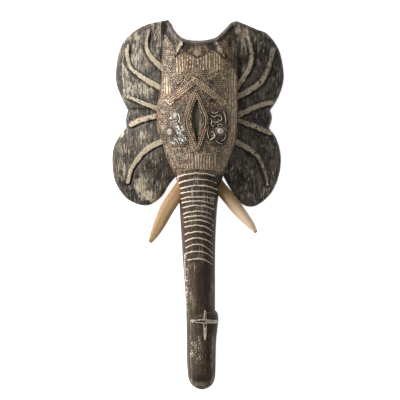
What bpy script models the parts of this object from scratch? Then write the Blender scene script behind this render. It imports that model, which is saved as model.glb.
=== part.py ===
"""Elephant wall mask: one carved board of dark wood with a raised head, lobed ears and a long ringed
trunk, two light wooden tusks pegged into the trunk, a beaten metal sheet laid over the face and an
embossed metal plate round each eye. The back of the head is hollowed.

The mask lies on its flat back. +Z comes out of the face, +X is the viewer's right and +Y runs from the
tip of the trunk to the crown. Carving is placed in thousandths of the mask's length.
"""

import bmesh
import bpy
import numpy as np
from mathutils import Vector
from mathutils.geometry import delaunay_2d_cdt

# Driving sizes in metres
MASK_LENGTH = 0.600
FACE_HEIGHT = 0.080
CROWN_HEIGHT = 0.053
TRUNK_ROOT_HEIGHT = 0.061
TRUNK_END_HEIGHT = 0.047
EAR_ROOT_HEIGHT = 0.044
EAR_TOP_HEIGHT = 0.035
EAR_FOOT_HEIGHT = 0.026
EAR_EDGE_HEIGHT = 0.018
EDGE_RADIUS = 0.006
BACK_WALL = 0.014
BACK_RIM = 0.014
RIB_HEIGHT = 0.0024
RING_HEIGHT = 0.0018
TIP_STEP = 0.0060
MOTIF_HEIGHT = 0.0014
BAND_HEIGHT = 0.0026
SHEET_THICKNESS = 0.0008
PLATE_THICKNESS = 0.0010
EYE_HEIGHT = 0.0035
FIT_GAP = 0.0003
TUSK_RADIUS = 0.0114
TUSK_AXIS_HEIGHT = 0.030
SOCKET_DEPTH = 0.018

# Spacing of the facets in metres
OUTLINE_FACET = 0.0075
LINE_FACET = 0.0090
EAR_FACET = 0.0150
HEAD_FACET = 0.0125
HOLLOW_FACET = 0.0150
TUSK_FACET = 0.0095

PART = MASK_LENGTH / 1000

# The outline, run by run from the notch under the left upper lobe, clockwise
OUTLINE_RUNS = [
    [(-192, 254), (-208, 285), (-223, 324), (-225, 362), (-214, 421), (-187, 459), (-144, 485), (-82, 499)],
    [(-82, 499), (-72, 484), (-64, 468), (-41, 446), (0, 440), (43, 448), (67, 469), (88, 491), (103, 495),
     (116, 491), (157, 474), (189, 460), (220, 416), (232, 357), (228, 318), (213, 281), (195, 254)],
    [(195, 254), (200, 232), (192, 205)],
    [(192, 205), (212, 177), (224, 132), (220, 81), (200, 32), (165, -1), (136, -8), (108, 7), (85, 43),
     (67, 76)],
    [(67, 76), (57, 38), (50, -19), (46, -97), (45, -165), (45, -232), (45, -290)],
    [(45, -290), (52, -299), (54, -314), (52, -335), (48, -373), (47, -411), (46, -452), (43, -477),
     (32, -494), (9, -503), (-14, -494), (-26, -477), (-30, -452), (-32, -411), (-32, -373), (-33, -314),
     (-34, -286), (-37, -232), (-42, -165), (-46, -97), (-51, -19), (-54, 38), (-62, 74)],
    [(-62, 74), (-80, 52), (-103, 17), (-143, -5), (-194, 13), (-227, 61), (-235, 119), (-227, 165),
     (-196, 208)],
    [(-196, 208), (-197, 231), (-192, 254)],
]

# Edges of the head and of the trunk, from the crown down
HEAD_LEFT = [(-103, 520), (-103, 438), (-103, 389), (-105, 322), (-115, 254), (-114, 205), (-101, 165),
             (-89, 127), (-73, 95), (-62, 74)]
HEAD_RIGHT = [(114, 520), (114, 438), (112, 389), (110, 322), (111, 254), (110, 205), (103, 165),
              (90, 127), (77, 98), (67, 76)]
TRUNK_LEFT = [(-62, 74), (-54, 38), (-51, -19), (-46, -97), (-42, -165), (-37, -232), (-34, -286),
              (-32, -373), (-32, -411), (-30, -510)]
TRUNK_RIGHT = [(67, 76), (57, 38), (50, -19), (46, -97), (45, -165), (45, -232), (45, -290), (52, -299),
               (54, -314), (52, -335), (48, -373), (47, -411), (46, -510)]

# Height of the ridge of the head and trunk at places along the mask
CREST = [(510, 0.66 * CROWN_HEIGHT), (438, CROWN_HEIGHT), (389, 0.84 * FACE_HEIGHT),
         (322, 0.95 * FACE_HEIGHT), (254, FACE_HEIGHT), (165, 0.97 * FACE_HEIGHT),
         (92, 0.87 * FACE_HEIGHT), (38, TRUNK_ROOT_HEIGHT), (-97, 0.89 * TRUNK_ROOT_HEIGHT),
         (-286, TRUNK_END_HEIGHT), (-452, TRUNK_END_HEIGHT), (-485, 0.85 * TRUNK_END_HEIGHT),
         (-510, 0.60 * TRUNK_END_HEIGHT)]
SIDE_SHARE = 0.42
ROUNDNESS = 2.4
EAR_REACH = 118

# Height of the ears where they leave the head, at places along the mask
EAR_ROOT = [(50, EAR_FOOT_HEIGHT), (150, EAR_ROOT_HEIGHT), (340, EAR_ROOT_HEIGHT), (470, EAR_TOP_HEIGHT)]

# Ear ribs: centre line from the head out, then the width at the head and at the end
RIBS = [
    ([(-101, 370), (-119, 386), (-135, 408), (-141, 430), (-139, 449), (-135, 469)], 14, 8),
    ([(-104, 314), (-145, 338), (-180, 364), (-189, 381), (-192, 403), (-192, 430)], 16, 7),
    ([(-114, 257), (-141, 269), (-162, 278), (-191, 290)], 12, 10),
    ([(-115, 237), (-154, 227), (-182, 215)], 11, 15),
    ([(-99, 168), (-128, 154), (-148, 139), (-169, 115), (-184, 89), (-192, 57)], 16, 8),
    ([(109, 322), (120, 338), (137, 366), (145, 396), (141, 424), (136, 449)], 13, 9),
    ([(110, 291), (141, 308), (168, 328), (185, 355), (197, 389), (204, 419)], 15, 9),
    ([(111, 241), (154, 261), (184, 272), (200, 274)], 14, 12),
    ([(111, 224), (154, 208), (193, 192)], 12, 13),
    ([(104, 166), (134, 149), (157, 132), (170, 112), (181, 85), (188, 51)], 14, 7),
]
RIB_BEVEL = 2.5
MIDDLE_LOBES = [[(-113, 246), (-150, 244), (-205, 231)], [(109, 232), (150, 234), (208, 231)]]
MIDDLE_WIDTHS = (7, 25)
MIDDLE_RECESS = 0.0030

# Rings round the front of the trunk: place of the middle, and how far the left and right ends lie below it
RINGS = [(82, 9, 14), (66, 8, 13), (49, 7, 9), (34, 6, 6), (19, 5, 7), (7, 5, 9), (-5, 7, 10), (-20, 8, 11),
         (-32, 7, 13), (-44, 8, 15), (-58, 7, 18), (-75, 10, 16), (-92, 11, 18), (-109, 12, 25),
         (-128, 8, 19), (-148, 7, 17)]
RING_HALF_WIDTH = 3.2
RING_REACH = 0.84

# Crown: a rolled rim along the notch with a crease inside it, and two short spikes
RIM_WIDTH = 12
CREASE_WIDTH = 7
RIM_RELIEF = 0.0022
SPIKES = [[(-46, 432), (-55, 414), (-64, 395)], [(48, 432), (60, 416), (71, 397)]]
SPIKE_WIDTHS = (5.5, 1.2)

# Tip of the trunk, curled up so that its end lies on the front, and the cross carved on it
TIP_EDGE = [(-21, -489), (-21, -470), (-21, -400), (-20, -330), (-14, -309), (4, -298), (20, -293),
            (41, -291), (52, -297)]
CROSS = [[(18, -290), (18, -316), (18, -364)], [(-19, -316), (18, -317), (49, -318)]]
CROSS_HALF_WIDTH = 5.0

# The face sheet, run by run from its top left corner, clockwise
SHEET_RUNS = [
    [(-95, 449), (-84, 452)],
    [(-84, 452), (-74, 434), (-64, 418), (-62, 395)],
    [(-62, 395), (-54, 401), (-46, 405), (-35, 408), (-22, 401), (-4, 391)],
    [(-4, 391), (14, 397), (27, 409), (38, 413), (51, 406), (71, 387)],
    [(71, 387), (86, 373), (105, 343)],
    [(105, 343), (103, 322), (104, 254), (102, 205), (96, 165), (83, 127), (71, 98), (66, 85)],
    [(66, 85), (35, 88), (0, 91), (-32, 88), (-62, 83)],
    [(-62, 83), (-69, 98), (-83, 127), (-94, 165), (-107, 205), (-108, 254), (-98, 322), (-96, 389),
     (-95, 449)],
]
SPINDLE = [(-4, 280), (-15, 256), (-20, 230), (-13, 194), (-3, 163), (3, 194), (6, 224), (3, 256)]
LENS = [(-7, 300), (-25, 262), (-37, 216), (-23, 175), (-3, 141), (14, 178), (26, 222), (13, 262)]
SPINDLE_DEPTH = 0.0045
CHEVRON = [[(-8, 330), (-30, 312), (-52, 294), (-76, 272)], [(-8, 330), (14, 314), (38, 294), (66, 272)]]
CHEVRON_HALF_WIDTH = 8.0
LEAVES = [((37, 325), (20, 9)), ((40, 275), (24, 10)), ((-52, 319), (15, 6)), ((-58, 277), (16, 6))]
LEAF_TURN = (-0.7, -0.1, 0.6, 0.3)
LEAF_DEPTH = 0.0014
BEVEL = 4

# Eye plates, left then right
PLATES = [
    [(-46, 253), (-37, 222), (-34, 192), (-27, 168), (-40, 155), (-68, 153), (-90, 170), (-95, 195),
     (-84, 222), (-66, 243)],
    [(30, 250), (54, 254), (72, 246), (81, 216), (82, 186), (73, 159), (54, 153), (27, 162), (21, 189),
     (24, 224)],
]
EYES = [(-77, 193), (59, 195)]
EYE_RADII = (13.5, 9.5, 4.0)

# Tusks, left then right: the axis from inside the trunk to the tip, and the share of TUSK_RADIUS
TUSK_AXES = [
    [(-40, 53), (-54, 32), (-72, 7), (-89, -21), (-103, -50), (-117, -78), (-131, -104)],
    [(42, 67), (61, 41), (84, 14), (104, -12), (123, -35), (141, -56), (156, -77)],
]
TUSK_TAPER = [1.0, 1.0, 1.0, 1.0, 0.99, 0.95, 0.88, 0.76, 0.57, 0.27]
TUSK_SCALE = (1.03, 0.91)
TUSK_RISE = [-0.003, -0.001, 0.0, 0.001, 0.002, 0.002, 0.001]

# Hollow behind the head
HOLLOW_TOP = 398
HOLLOW_BOTTOM = 128
HOLLOW_ROUND = 0.020


def clear_scene():
    for item in list(bpy.data.objects):
        bpy.data.objects.remove(item, do_unlink=True)


def collection(name):
    made = bpy.data.collections.new(name)
    bpy.context.scene.collection.children.link(made)
    return made


def material(name, colour, roughness, metallic=0.0):
    made = bpy.data.materials.new(name)
    made.use_nodes = True
    shader = made.node_tree.nodes["Principled BSDF"]
    shader.inputs["Base Color"].default_value = (*colour, 1.0)
    shader.inputs["Roughness"].default_value = roughness
    shader.inputs["Metallic"].default_value = metallic
    return made


def smooth_curve(points, closed=False, steps=12):
    """A Catmull-Rom curve through the points, of any number of dimensions."""
    points = np.array(points, float)
    if closed:
        padded = np.vstack([points[-1], points, points[:2]])
    else:
        padded = np.vstack([2 * points[0] - points[1], points, 2 * points[-1] - points[-2]])
    t = np.linspace(0, 1, steps, endpoint=False)[:, None]
    spans = []
    for a, b, c, d in zip(padded, padded[1:], padded[2:], padded[3:]):
        spans.append(0.5 * (2 * b + (c - a) * t + (2 * a - 5 * b + 4 * c - d) * t**2
                            + (3 * b - a - 3 * c + d) * t**3))
    if not closed:
        spans.append(points[-1:])
    return np.vstack(spans)


def along(points):
    """Distance travelled at each point of a line."""
    return np.concatenate([[0], np.cumsum(np.linalg.norm(np.diff(points, axis=0), axis=1))])


def spaced(points, spacing, closed=False):
    """The same line with evenly spaced points; a closed line doesn't repeat its first point."""
    points = np.vstack([points, points[:1]]) if closed else points
    travel = along(points)
    count = max(2, int(round(travel[-1] / spacing)))
    wanted = np.linspace(0, travel[-1], count + 1)
    line = np.column_stack([np.interp(wanted, travel, column) for column in points.T])
    return line[:-1] if closed else line


def runs_to_loop(runs, spacing):
    """One closed loop from smooth runs that meet at corners."""
    return np.vstack([spaced(smooth_curve(run), spacing)[:-1] for run in runs])


def nearest(points, line, closed=False):
    """Distance of each point to a line, and the share of the line's length where that is."""
    line = np.vstack([line, line[:1]]) if closed else np.asarray(line, float)
    start = line[:-1][None]
    step = np.diff(line, axis=0)[None]
    length = np.maximum((step**2).sum(2), 1e-12)
    share = np.clip(((points[:, None] - start) * step).sum(2) / length, 0, 1)
    gap = np.linalg.norm(points[:, None] - start - share[..., None] * step, axis=2)
    pick = gap.argmin(axis=1)
    row = np.arange(len(points))
    travel = along(line)
    place = travel[pick] + share[row, pick] * (travel[pick + 1] - travel[pick])
    return gap[row, pick], place / travel[-1]


def inside(points, loop):
    """Whether each point is inside a closed loop."""
    x, y = points[:, 0:1], points[:, 1:2]
    x0, y0 = loop[None, :, 0], loop[None, :, 1]
    x1, y1 = np.roll(x0, -1, axis=1), np.roll(y0, -1, axis=1)
    rise = np.where(y1 == y0, 1e-9, y1 - y0)
    crossed = ((y0 > y) != (y1 > y)) & (x < x0 + (y - y0) / rise * (x1 - x0))
    return crossed.sum(axis=1) % 2 == 1


def ramp(values, start, end):
    return np.clip((values - start) / (end - start), 0, 1)


def offset_line(line, distance):
    """The line moved sideways to its left, by one distance or by one for each point."""
    way = np.gradient(line, axis=0)
    way /= np.linalg.norm(way, axis=1)[:, None]
    return line + np.column_stack([-way[:, 1], way[:, 0]]) * np.reshape(distance, (-1, 1))


OUTLINE = runs_to_loop(OUTLINE_RUNS, OUTLINE_FACET / PART)
MIDDLE = (OUTLINE.min(axis=0) + OUTLINE.max(axis=0)) / 2
NOTCH = smooth_curve(OUTLINE_RUNS[1][:9])
LEFT_EDGE = np.vstack([smooth_curve(HEAD_LEFT), smooth_curve(TRUNK_LEFT)[1:]])
RIGHT_EDGE = np.vstack([smooth_curve(HEAD_RIGHT), smooth_curve(TRUNK_RIGHT)[1:]])
HEAD_LINES = [smooth_curve(HEAD_LEFT), smooth_curve(HEAD_RIGHT)]
CREST_LINE = smooth_curve(CREST)
SHEET_LOOP = runs_to_loop(SHEET_RUNS, LINE_FACET / PART)
SPINDLE_LOOP = spaced(smooth_curve(SPINDLE, closed=True), LINE_FACET / PART, closed=True)
LENS_LOOP = spaced(smooth_curve(LENS, closed=True), LINE_FACET / PART, closed=True)
PLATE_LOOPS = [spaced(smooth_curve(plate, closed=True), LINE_FACET / PART, closed=True) for plate in PLATES]


def at_height(line, y):
    """The x of a line that runs down the mask, at the places y."""
    order = line[:, 1].argsort()
    return np.interp(y, line[order, 1], line[order, 0])


def crossways(points):
    """Place across the head or trunk, from -1 at its left edge to 1 at its right."""
    left = at_height(LEFT_EDGE, points[:, 1])
    right = at_height(RIGHT_EDGE, points[:, 1])
    return (2 * points[:, 0] - left - right) / (right - left)


def crest_height(y):
    return np.interp(y, CREST_LINE[::-1, 0], CREST_LINE[::-1, 1])


def on_dome(points):
    """Whether each point belongs to the head or the trunk and not to an ear."""
    left = at_height(LEFT_EDGE, points[:, 1])
    right = at_height(RIGHT_EDGE, points[:, 1])
    beyond = np.maximum(left - points[:, 0], points[:, 0] - right)
    return beyond < np.where(points[:, 1] > HEAD_LEFT[-1][1] - 15, 1, 3)


def dome_height(points):
    """The smooth head and trunk, without any relief."""
    across = np.clip(np.abs(crossways(points)), 0, 1)
    arch = np.sqrt(1 - across**ROUNDNESS)
    return crest_height(points[:, 1]) * (SIDE_SHARE + (1 - SIDE_SHARE) * arch)


def rib_line(points):
    """A rib's centre line, begun inside the head so that the rib grows out of it."""
    start = np.array(points[0], float)
    inner = start + 0.5 * (start - np.array(points[1], float))
    return smooth_curve([inner, *points], steps=6)


def ear_height(points):
    away = np.minimum(nearest(points, HEAD_LINES[0])[0], nearest(points, HEAD_LINES[1])[0])
    root = np.interp(points[:, 1], *zip(*EAR_ROOT))
    height = root + (EAR_EDGE_HEIGHT - root) * np.clip(away / EAR_REACH, 0, 1) ** 1.5
    for line in MIDDLE_LOBES:
        gap, share = nearest(points, smooth_curve(line))
        half = MIDDLE_WIDTHS[0] + (MIDDLE_WIDTHS[1] - MIDDLE_WIDTHS[0]) * share
        height = height - MIDDLE_RECESS * ramp(half - gap, -BEVEL, BEVEL)
    relief = np.zeros(len(points))
    for line, wide, narrow in RIBS:
        gap, share = nearest(points, rib_line(line))
        half = (wide + (narrow - wide) * share) / 2
        relief = np.maximum(relief, ramp(half + RIB_BEVEL - gap, 0, RIB_BEVEL))
    return height + RIB_HEIGHT * relief


def ring_fall(across, left_fall, right_fall):
    """How far a ring lies below its middle."""
    return np.where(across < 0, left_fall, right_fall) * (across / RING_REACH) ** 2


def ring_line(ring, shift, across):
    """Points of one trunk ring, or of a line a little above or below it."""
    place, left_fall, right_fall = ring
    across = np.asarray(across, float)
    y = place + shift - ring_fall(across, left_fall, right_fall)
    left = at_height(LEFT_EDGE, y)
    right = at_height(RIGHT_EDGE, y)
    return np.column_stack([(left + right + across * (right - left)) / 2, y])


def head_relief(points):
    """Carving on the head and trunk, all but what is under the face sheet."""
    across = crossways(points)
    relief = np.zeros(len(points))
    for place, left_fall, right_fall in RINGS:
        level = place - ring_fall(np.clip(across, -1, 1), left_fall, right_fall)
        crest = 1 - np.abs(points[:, 1] - level) / RING_HALF_WIDTH
        relief = np.maximum(relief, np.clip(crest, 0, 1) * ramp(RING_REACH - np.abs(across), -0.08, 0.08))
    relief *= RING_HEIGHT
    from_notch = nearest(points, NOTCH)[0]
    on_head = (points[:, 1] > SHEET_RUNS[2][-1][1]) & (np.abs(across) <= 1)
    rim = ramp(RIM_WIDTH - from_notch, 0, BEVEL)
    crease = ramp(from_notch, RIM_WIDTH, RIM_WIDTH + 2)
    crease = crease * ramp(RIM_WIDTH + CREASE_WIDTH - from_notch, 0, BEVEL)
    relief += np.where(on_head, RIM_RELIEF * (rim - crease), 0)
    for line in SPIKES:
        gap, share = nearest(points, smooth_curve(line))
        half = SPIKE_WIDTHS[0] + (SPIKE_WIDTHS[1] - SPIKE_WIDTHS[0]) * share
        relief = np.maximum(relief, RIM_RELIEF * ramp(half + 2 - gap, 0, 2))
    on_tip = inside(points, np.vstack([smooth_curve(TIP_EDGE), [(90, -297), (90, -520), (-21, -520)]]))
    from_edge = nearest(points, smooth_curve(TIP_EDGE))[0]
    relief += TIP_STEP * np.where(on_tip, ramp(from_edge, 0, BEVEL), 0)
    cross = np.zeros(len(points))
    for line in CROSS:
        gap, share = nearest(points, smooth_curve(line))
        half = CROSS_HALF_WIDTH * (0.45 + 0.55 * np.sin(np.pi * np.clip(share, 0, 1)))
        cross = np.maximum(cross, ramp(half + 2 - gap, 0, 2))
    return relief + MOTIF_HEIGHT * cross


def turned(points, turn):
    """Points turned anticlockwise about the origin."""
    c, s = np.cos(turn), np.sin(turn)
    return points @ np.array([[c, s], [-s, c]])


def leaf(points, centre, sizes, turn):
    """Distance from a leaf's middle, 1 on its edge."""
    return np.linalg.norm(turned(points - np.array(centre), -turn) / (np.array(sizes) / 2), axis=1)


def face_relief(points):
    """Bands and leaves carved in the wood and beaten into the sheet over it."""
    from_lens = nearest(points, LENS_LOOP, closed=True)[0]
    within = inside(points, LENS_LOOP) | (from_lens < 0.01)
    relief = np.where(within, 1.0, ramp(BEVEL - from_lens, 0, BEVEL))
    for line in CHEVRON:
        gap = nearest(points, smooth_curve(line))[0]
        relief = np.maximum(relief, 0.8 * ramp(CHEVRON_HALF_WIDTH + BEVEL - gap, 0, BEVEL))
    relief = relief * BAND_HEIGHT
    for (centre, sizes), turn in zip(LEAVES, LEAF_TURN):
        relief = relief - LEAF_DEPTH * ramp(1 - leaf(points, centre, sizes, turn), 0, 0.45)
    return relief


def spindle_depth(points):
    """The dark pointed hollow that the sheet leaves open in the middle of the face."""
    from_edge = nearest(points, SPINDLE_LOOP, closed=True)[0]
    return np.where(inside(points, SPINDLE_LOOP), SPINDLE_DEPTH * ramp(from_edge, 0, BEVEL), 0)


def wood_front(points):
    """Height of the carved wood's front."""
    from_edge = np.clip(nearest(points, OUTLINE, closed=True)[0] * PART, 0, EDGE_RADIUS)
    rounding = EDGE_RADIUS - np.sqrt(EDGE_RADIUS**2 - (EDGE_RADIUS - from_edge) ** 2)
    dome = dome_height(points) + head_relief(points)
    dome = dome + np.where(inside(points, SHEET_LOOP), face_relief(points), 0) - spindle_depth(points)
    ear = ear_height(points)
    beside_head = points[:, 1] > HEAD_LEFT[-1][1]
    raised = np.where(beside_head, np.maximum(dome, ear), dome)
    return np.where(on_dome(points), raised, ear) - rounding


def hollow_loop():
    """Edge of the hollow on the back, a rim's width inside the head's edge."""
    y = np.linspace(HOLLOW_TOP, HOLLOW_BOTTOM, 14)
    share = np.abs(np.linspace(-1, 1, len(y)))
    squeeze = np.sqrt(np.clip(1 - share**4, 0, 1))
    left = at_height(LEFT_EDGE, y) + BACK_RIM / PART
    right = at_height(RIGHT_EDGE, y) - BACK_RIM / PART
    middle, half = (left + right) / 2, (right - left) / 2 * (0.3 + 0.7 * squeeze)
    loop = np.vstack([np.column_stack([middle + half, y]), np.column_stack([middle - half, y])[::-1]])
    return spaced(smooth_curve(loop, closed=True), HOLLOW_FACET / PART / 1.5, closed=True)


HOLLOW = hollow_loop()


def wood_back(points):
    """Height of the back: flat, with the hollow behind the head."""
    depth = nearest(points, HOLLOW, closed=True)[0] * PART
    share = np.clip(depth / HOLLOW_ROUND, 0, 1)
    roof = dome_height(points) - BACK_WALL
    return np.where(inside(points, HOLLOW), roof * np.sqrt(1 - (1 - share) ** 2), 0)


class Plan:
    """Points and lines of the mask seen from the front, filled with triangles."""

    def __init__(self, outline):
        self.outline = outline
        self.points = []
        self.edges = []
        self.line(outline, closed=True)

    def line(self, points, closed=False):
        first = len(self.points)
        self.points.extend(map(tuple, points))
        last = len(self.points) - 1
        self.edges.extend((i, i + 1) for i in range(first, last))
        if closed:
            self.edges.append((last, first))

    def inner_line(self, points, margin, closed=False):
        """The stretches of a line that are clear of the outline."""
        points = np.vstack([points, points[:1]]) if closed else np.asarray(points)
        clear = inside(points, self.outline) & (nearest(points, self.outline, closed=True)[0] > margin)
        stretch = []
        for point, keep in zip(points, clear):
            if keep:
                stretch.append(point)
            if stretch and (not keep or point is points[-1]):
                self.line(stretch)
                stretch = []
        if stretch:
            self.line(stretch)

    def dots(self, points, margin):
        """Loose points, where they are clear of the outline and of every point so far."""
        taken = np.full((len(self.points) + len(points), 2), np.inf)
        taken[:len(self.points)] = self.points
        for point in points[inside(points, self.outline)]:
            count = len(self.points)
            if np.linalg.norm(taken[:count] - point, axis=1).min() > margin:
                taken[count] = point
                self.points.append(tuple(point))

    def fill(self):
        found = delaunay_2d_cdt([Vector(p) for p in self.points], self.edges, [], 1, 0.02)
        points = np.array([tuple(p) for p in found[0]])
        first = {source: new for new, sources in enumerate(found[3]) for source in sources}
        rim = [first[i] for i in range(len(self.outline))]
        return points, [tuple(face) for face in found[2]], rim


def unit_circle(count):
    turn = np.linspace(0, 2 * np.pi, count, endpoint=False)
    return np.column_stack([np.cos(turn), np.sin(turn)])


def triangle_grid(low, high, pitch):
    rows = np.arange(low[1], high[1], pitch * 0.866)
    grid = []
    for number, y in enumerate(rows):
        shift = pitch / 2 * (number % 2)
        grid.extend((x, y) for x in np.arange(low[0] + shift, high[0], pitch))
    return np.array(grid)


def front_plan():
    """Everything that the front's facets follow: edges, ribs, rings, bands and plates."""
    plan = Plan(OUTLINE)
    step = LINE_FACET / PART
    for edge in HEAD_LINES:
        for inwards in (-3, 0, 4, 14):
            side = np.sign(edge[0, 0])
            plan.inner_line(spaced(edge, 1.6 * step) - [side * inwards, 0], 3)
    for line, wide, narrow in RIBS:
        centre = spaced(smooth_curve(line), 1.5 * step)
        half = np.linspace(wide, narrow, len(centre)) / 2
        way = (centre[-1] - centre[-2]) / np.linalg.norm(centre[-1] - centre[-2])
        for extra in (0, RIB_BEVEL):
            left, right = offset_line(centre, half + extra), offset_line(centre, -half - extra)
            tip = centre[-1] + way * (half[-1] + extra)
            plan.inner_line(np.vstack([left, tip[None], right[::-1]]), 2)
    for line in MIDDLE_LOBES:
        centre = spaced(smooth_curve(line), 2 * step)
        half = np.linspace(*MIDDLE_WIDTHS, len(centre))
        for side in (-1, 1):
            for extra in (-BEVEL, BEVEL):
                plan.inner_line(offset_line(centre, side * (half + extra)), 3)
    for ring in RINGS:
        across = np.linspace(-RING_REACH - 0.08, RING_REACH + 0.08, 10)
        for shift in (-RING_HALF_WIDTH, 0, RING_HALF_WIDTH):
            plan.inner_line(ring_line(ring, shift, across), 1.5)
    for away in (BEVEL, RIM_WIDTH - BEVEL, RIM_WIDTH, RIM_WIDTH + 2, RIM_WIDTH + CREASE_WIDTH):
        plan.inner_line(offset_line(spaced(NOTCH, 1.6 * step), -away), 2)
    for line in SPIKES:
        centre = spaced(smooth_curve(line), 1.2 * step)
        half = np.linspace(*SPIKE_WIDTHS, len(centre))
        for extra in (0, 2):
            plan.line(offset_line(centre, half + extra))
            plan.line(offset_line(centre, -half - extra))
    for away in (0, BEVEL):
        plan.inner_line(offset_line(spaced(smooth_curve(TIP_EDGE), step), -away), 1.5)
    for line in CROSS:
        centre = spaced(smooth_curve(line), 1.2 * step)
        half = CROSS_HALF_WIDTH * (0.45 + 0.55 * np.sin(np.pi * np.linspace(0, 1, len(centre))))
        for extra in (0, 2):
            plan.inner_line(offset_line(centre, half + extra), 1.5)
            plan.inner_line(offset_line(centre, -half - extra), 1.5)
    plan.line(SHEET_LOOP, closed=True)
    plan.line(SPINDLE_LOOP, closed=True)
    plan.line(LENS_LOOP, closed=True)
    middle = SPINDLE_LOOP.mean(axis=0)
    plan.line(middle + (SPINDLE_LOOP - middle) * (0.55, 0.85), closed=True)
    for loop in PLATE_LOOPS:
        plan.line(loop, closed=True)
    for centre in EYES:
        for radius in EYE_RADII:
            plan.line(centre + radius * unit_circle(10), closed=True)
    for line in CHEVRON:
        centre = spaced(smooth_curve(line), 1.5 * step)
        for away in (-CHEVRON_HALF_WIDTH - BEVEL, -CHEVRON_HALF_WIDTH, CHEVRON_HALF_WIDTH,
                     CHEVRON_HALF_WIDTH + BEVEL):
            plan.line(offset_line(centre, away))
    for (centre, sizes), turn in zip(LEAVES, LEAF_TURN):
        for share in (1.0, 0.55):
            plan.line(centre + turned(unit_circle(8) * sizes * share / 2, turn), closed=True)
    closed = np.vstack([OUTLINE, OUTLINE[:1]])
    for inwards in (0.25 * EDGE_RADIUS, EDGE_RADIUS):
        inner = offset_line(closed, -inwards / PART)[:-1]
        keep = nearest(inner, OUTLINE, closed=True)[0] > 0.97 * inwards / PART
        plan.dots(inner[keep], 0.22 * EDGE_RADIUS / PART)
    lens_foot = LENS_LOOP.mean(axis=0) + (LENS_LOOP - LENS_LOOP.mean(axis=0)) * (1.13, 1.05)
    plan.line(lens_foot, closed=True)
    rows = np.arange(-500, 440, HEAD_FACET / PART)
    for row in rows:
        share = np.linspace(-0.9, 0.9, 11 if row > 60 else 7)
        left, right = at_height(LEFT_EDGE, row), at_height(RIGHT_EDGE, row)
        spots = np.column_stack([(left + right + share * (right - left)) / 2, np.full(len(share), row)])
        plan.dots(spots, 0.45 * HEAD_FACET / PART)
    grid = triangle_grid(OUTLINE.min(axis=0), OUTLINE.max(axis=0), EAR_FACET / PART)
    plan.dots(grid[np.abs(crossways(grid)) > 1.0], 0.5 * EAR_FACET / PART)
    return plan.fill()


def back_plan():
    plan = Plan(OUTLINE)
    plan.line(HOLLOW, closed=True)
    centre = HOLLOW.mean(axis=0)
    size = HOLLOW.max(axis=0) - HOLLOW.min(axis=0)
    for depth in (0.13, 0.45, 1.0):
        shrink = 1 - 2 * depth * HOLLOW_ROUND / PART / size
        plan.line(centre + (HOLLOW - centre) * shrink, closed=True)
    grid = triangle_grid(HOLLOW.min(axis=0), HOLLOW.max(axis=0), HOLLOW_FACET / PART)
    plan.dots(grid[inside(grid, HOLLOW)], 0.6 * HOLLOW_FACET / PART)
    return plan.fill()


def place(points, heights):
    """Plan places and heights as positions in metres, centred on the mask's outline."""
    return np.column_stack([(points - MIDDLE) * PART, heights])


def add_object(name, bm, look, home):
    bmesh.ops.recalc_face_normals(bm, faces=bm.faces)
    mesh = bpy.data.meshes.new(name)
    bm.to_mesh(mesh)
    bm.free()
    mesh.materials.append(look)
    mesh.shade_smooth()
    mesh.set_sharp_from_angle(angle=0.6)
    made = bpy.data.objects.new(name, mesh)
    home.objects.link(made)
    return made


def carved_wood(plan, look, home):
    """The one-piece carving: a front and a back face joined round the outline."""
    bm = bmesh.new()
    sides = []
    for (points, faces, rim), shape, turned in ((plan, wood_front, False), (back_plan(), wood_back, True)):
        verts = [bm.verts.new(spot) for spot in place(points, shape(points))]
        for face in faces:
            bm.faces.new([verts[i] for i in (face[::-1] if turned else face)])
        sides.append([verts[i] for i in rim])
    top, bottom = sides
    for i in range(len(top)):
        j = (i + 1) % len(top)
        bm.faces.new([top[i], top[j], bottom[j], bottom[i]])
    return add_object("carved_body", bm, look, home)


def skin(name, plan, keep, underside, thickness, look, home):
    """A thin sheet over part of the front, with the wood's own facets under it."""
    points, faces, _ = plan
    middles = np.array([points[list(face)].mean(axis=0) for face in faces])
    chosen = [face for face, kept in zip(faces, keep(middles)) if kept]
    used = sorted({i for face in chosen for i in face})
    spots = points[used]
    bm = bmesh.new()
    verts = {i: bm.verts.new(spot) for i, spot in zip(used, place(spots, underside(spots)))}
    for face in chosen:
        bm.faces.new([verts[i] for i in face])
    raised = bmesh.ops.extrude_face_region(bm, geom=list(bm.faces))["geom"]
    uppers = [item for item in raised if isinstance(item, bmesh.types.BMVert)]
    above = np.array([vert.co.xy for vert in uppers]) / PART + MIDDLE
    for vert, rise in zip(uppers, thickness(above)):
        vert.co.z += rise
    return add_object(name, bm, look, home)


def eye_boss(points):
    """Height of the round boss in the middle of each eye plate, over the plate."""
    away = np.min([np.linalg.norm(points - np.array(eye), axis=1) for eye in EYES], axis=0)
    wide, top, small = EYE_RADII
    return EYE_HEIGHT * (0.7 * ramp(wide - away, 0, wide - top) + 0.3 * ramp(top - away, 0, top - small))


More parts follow.
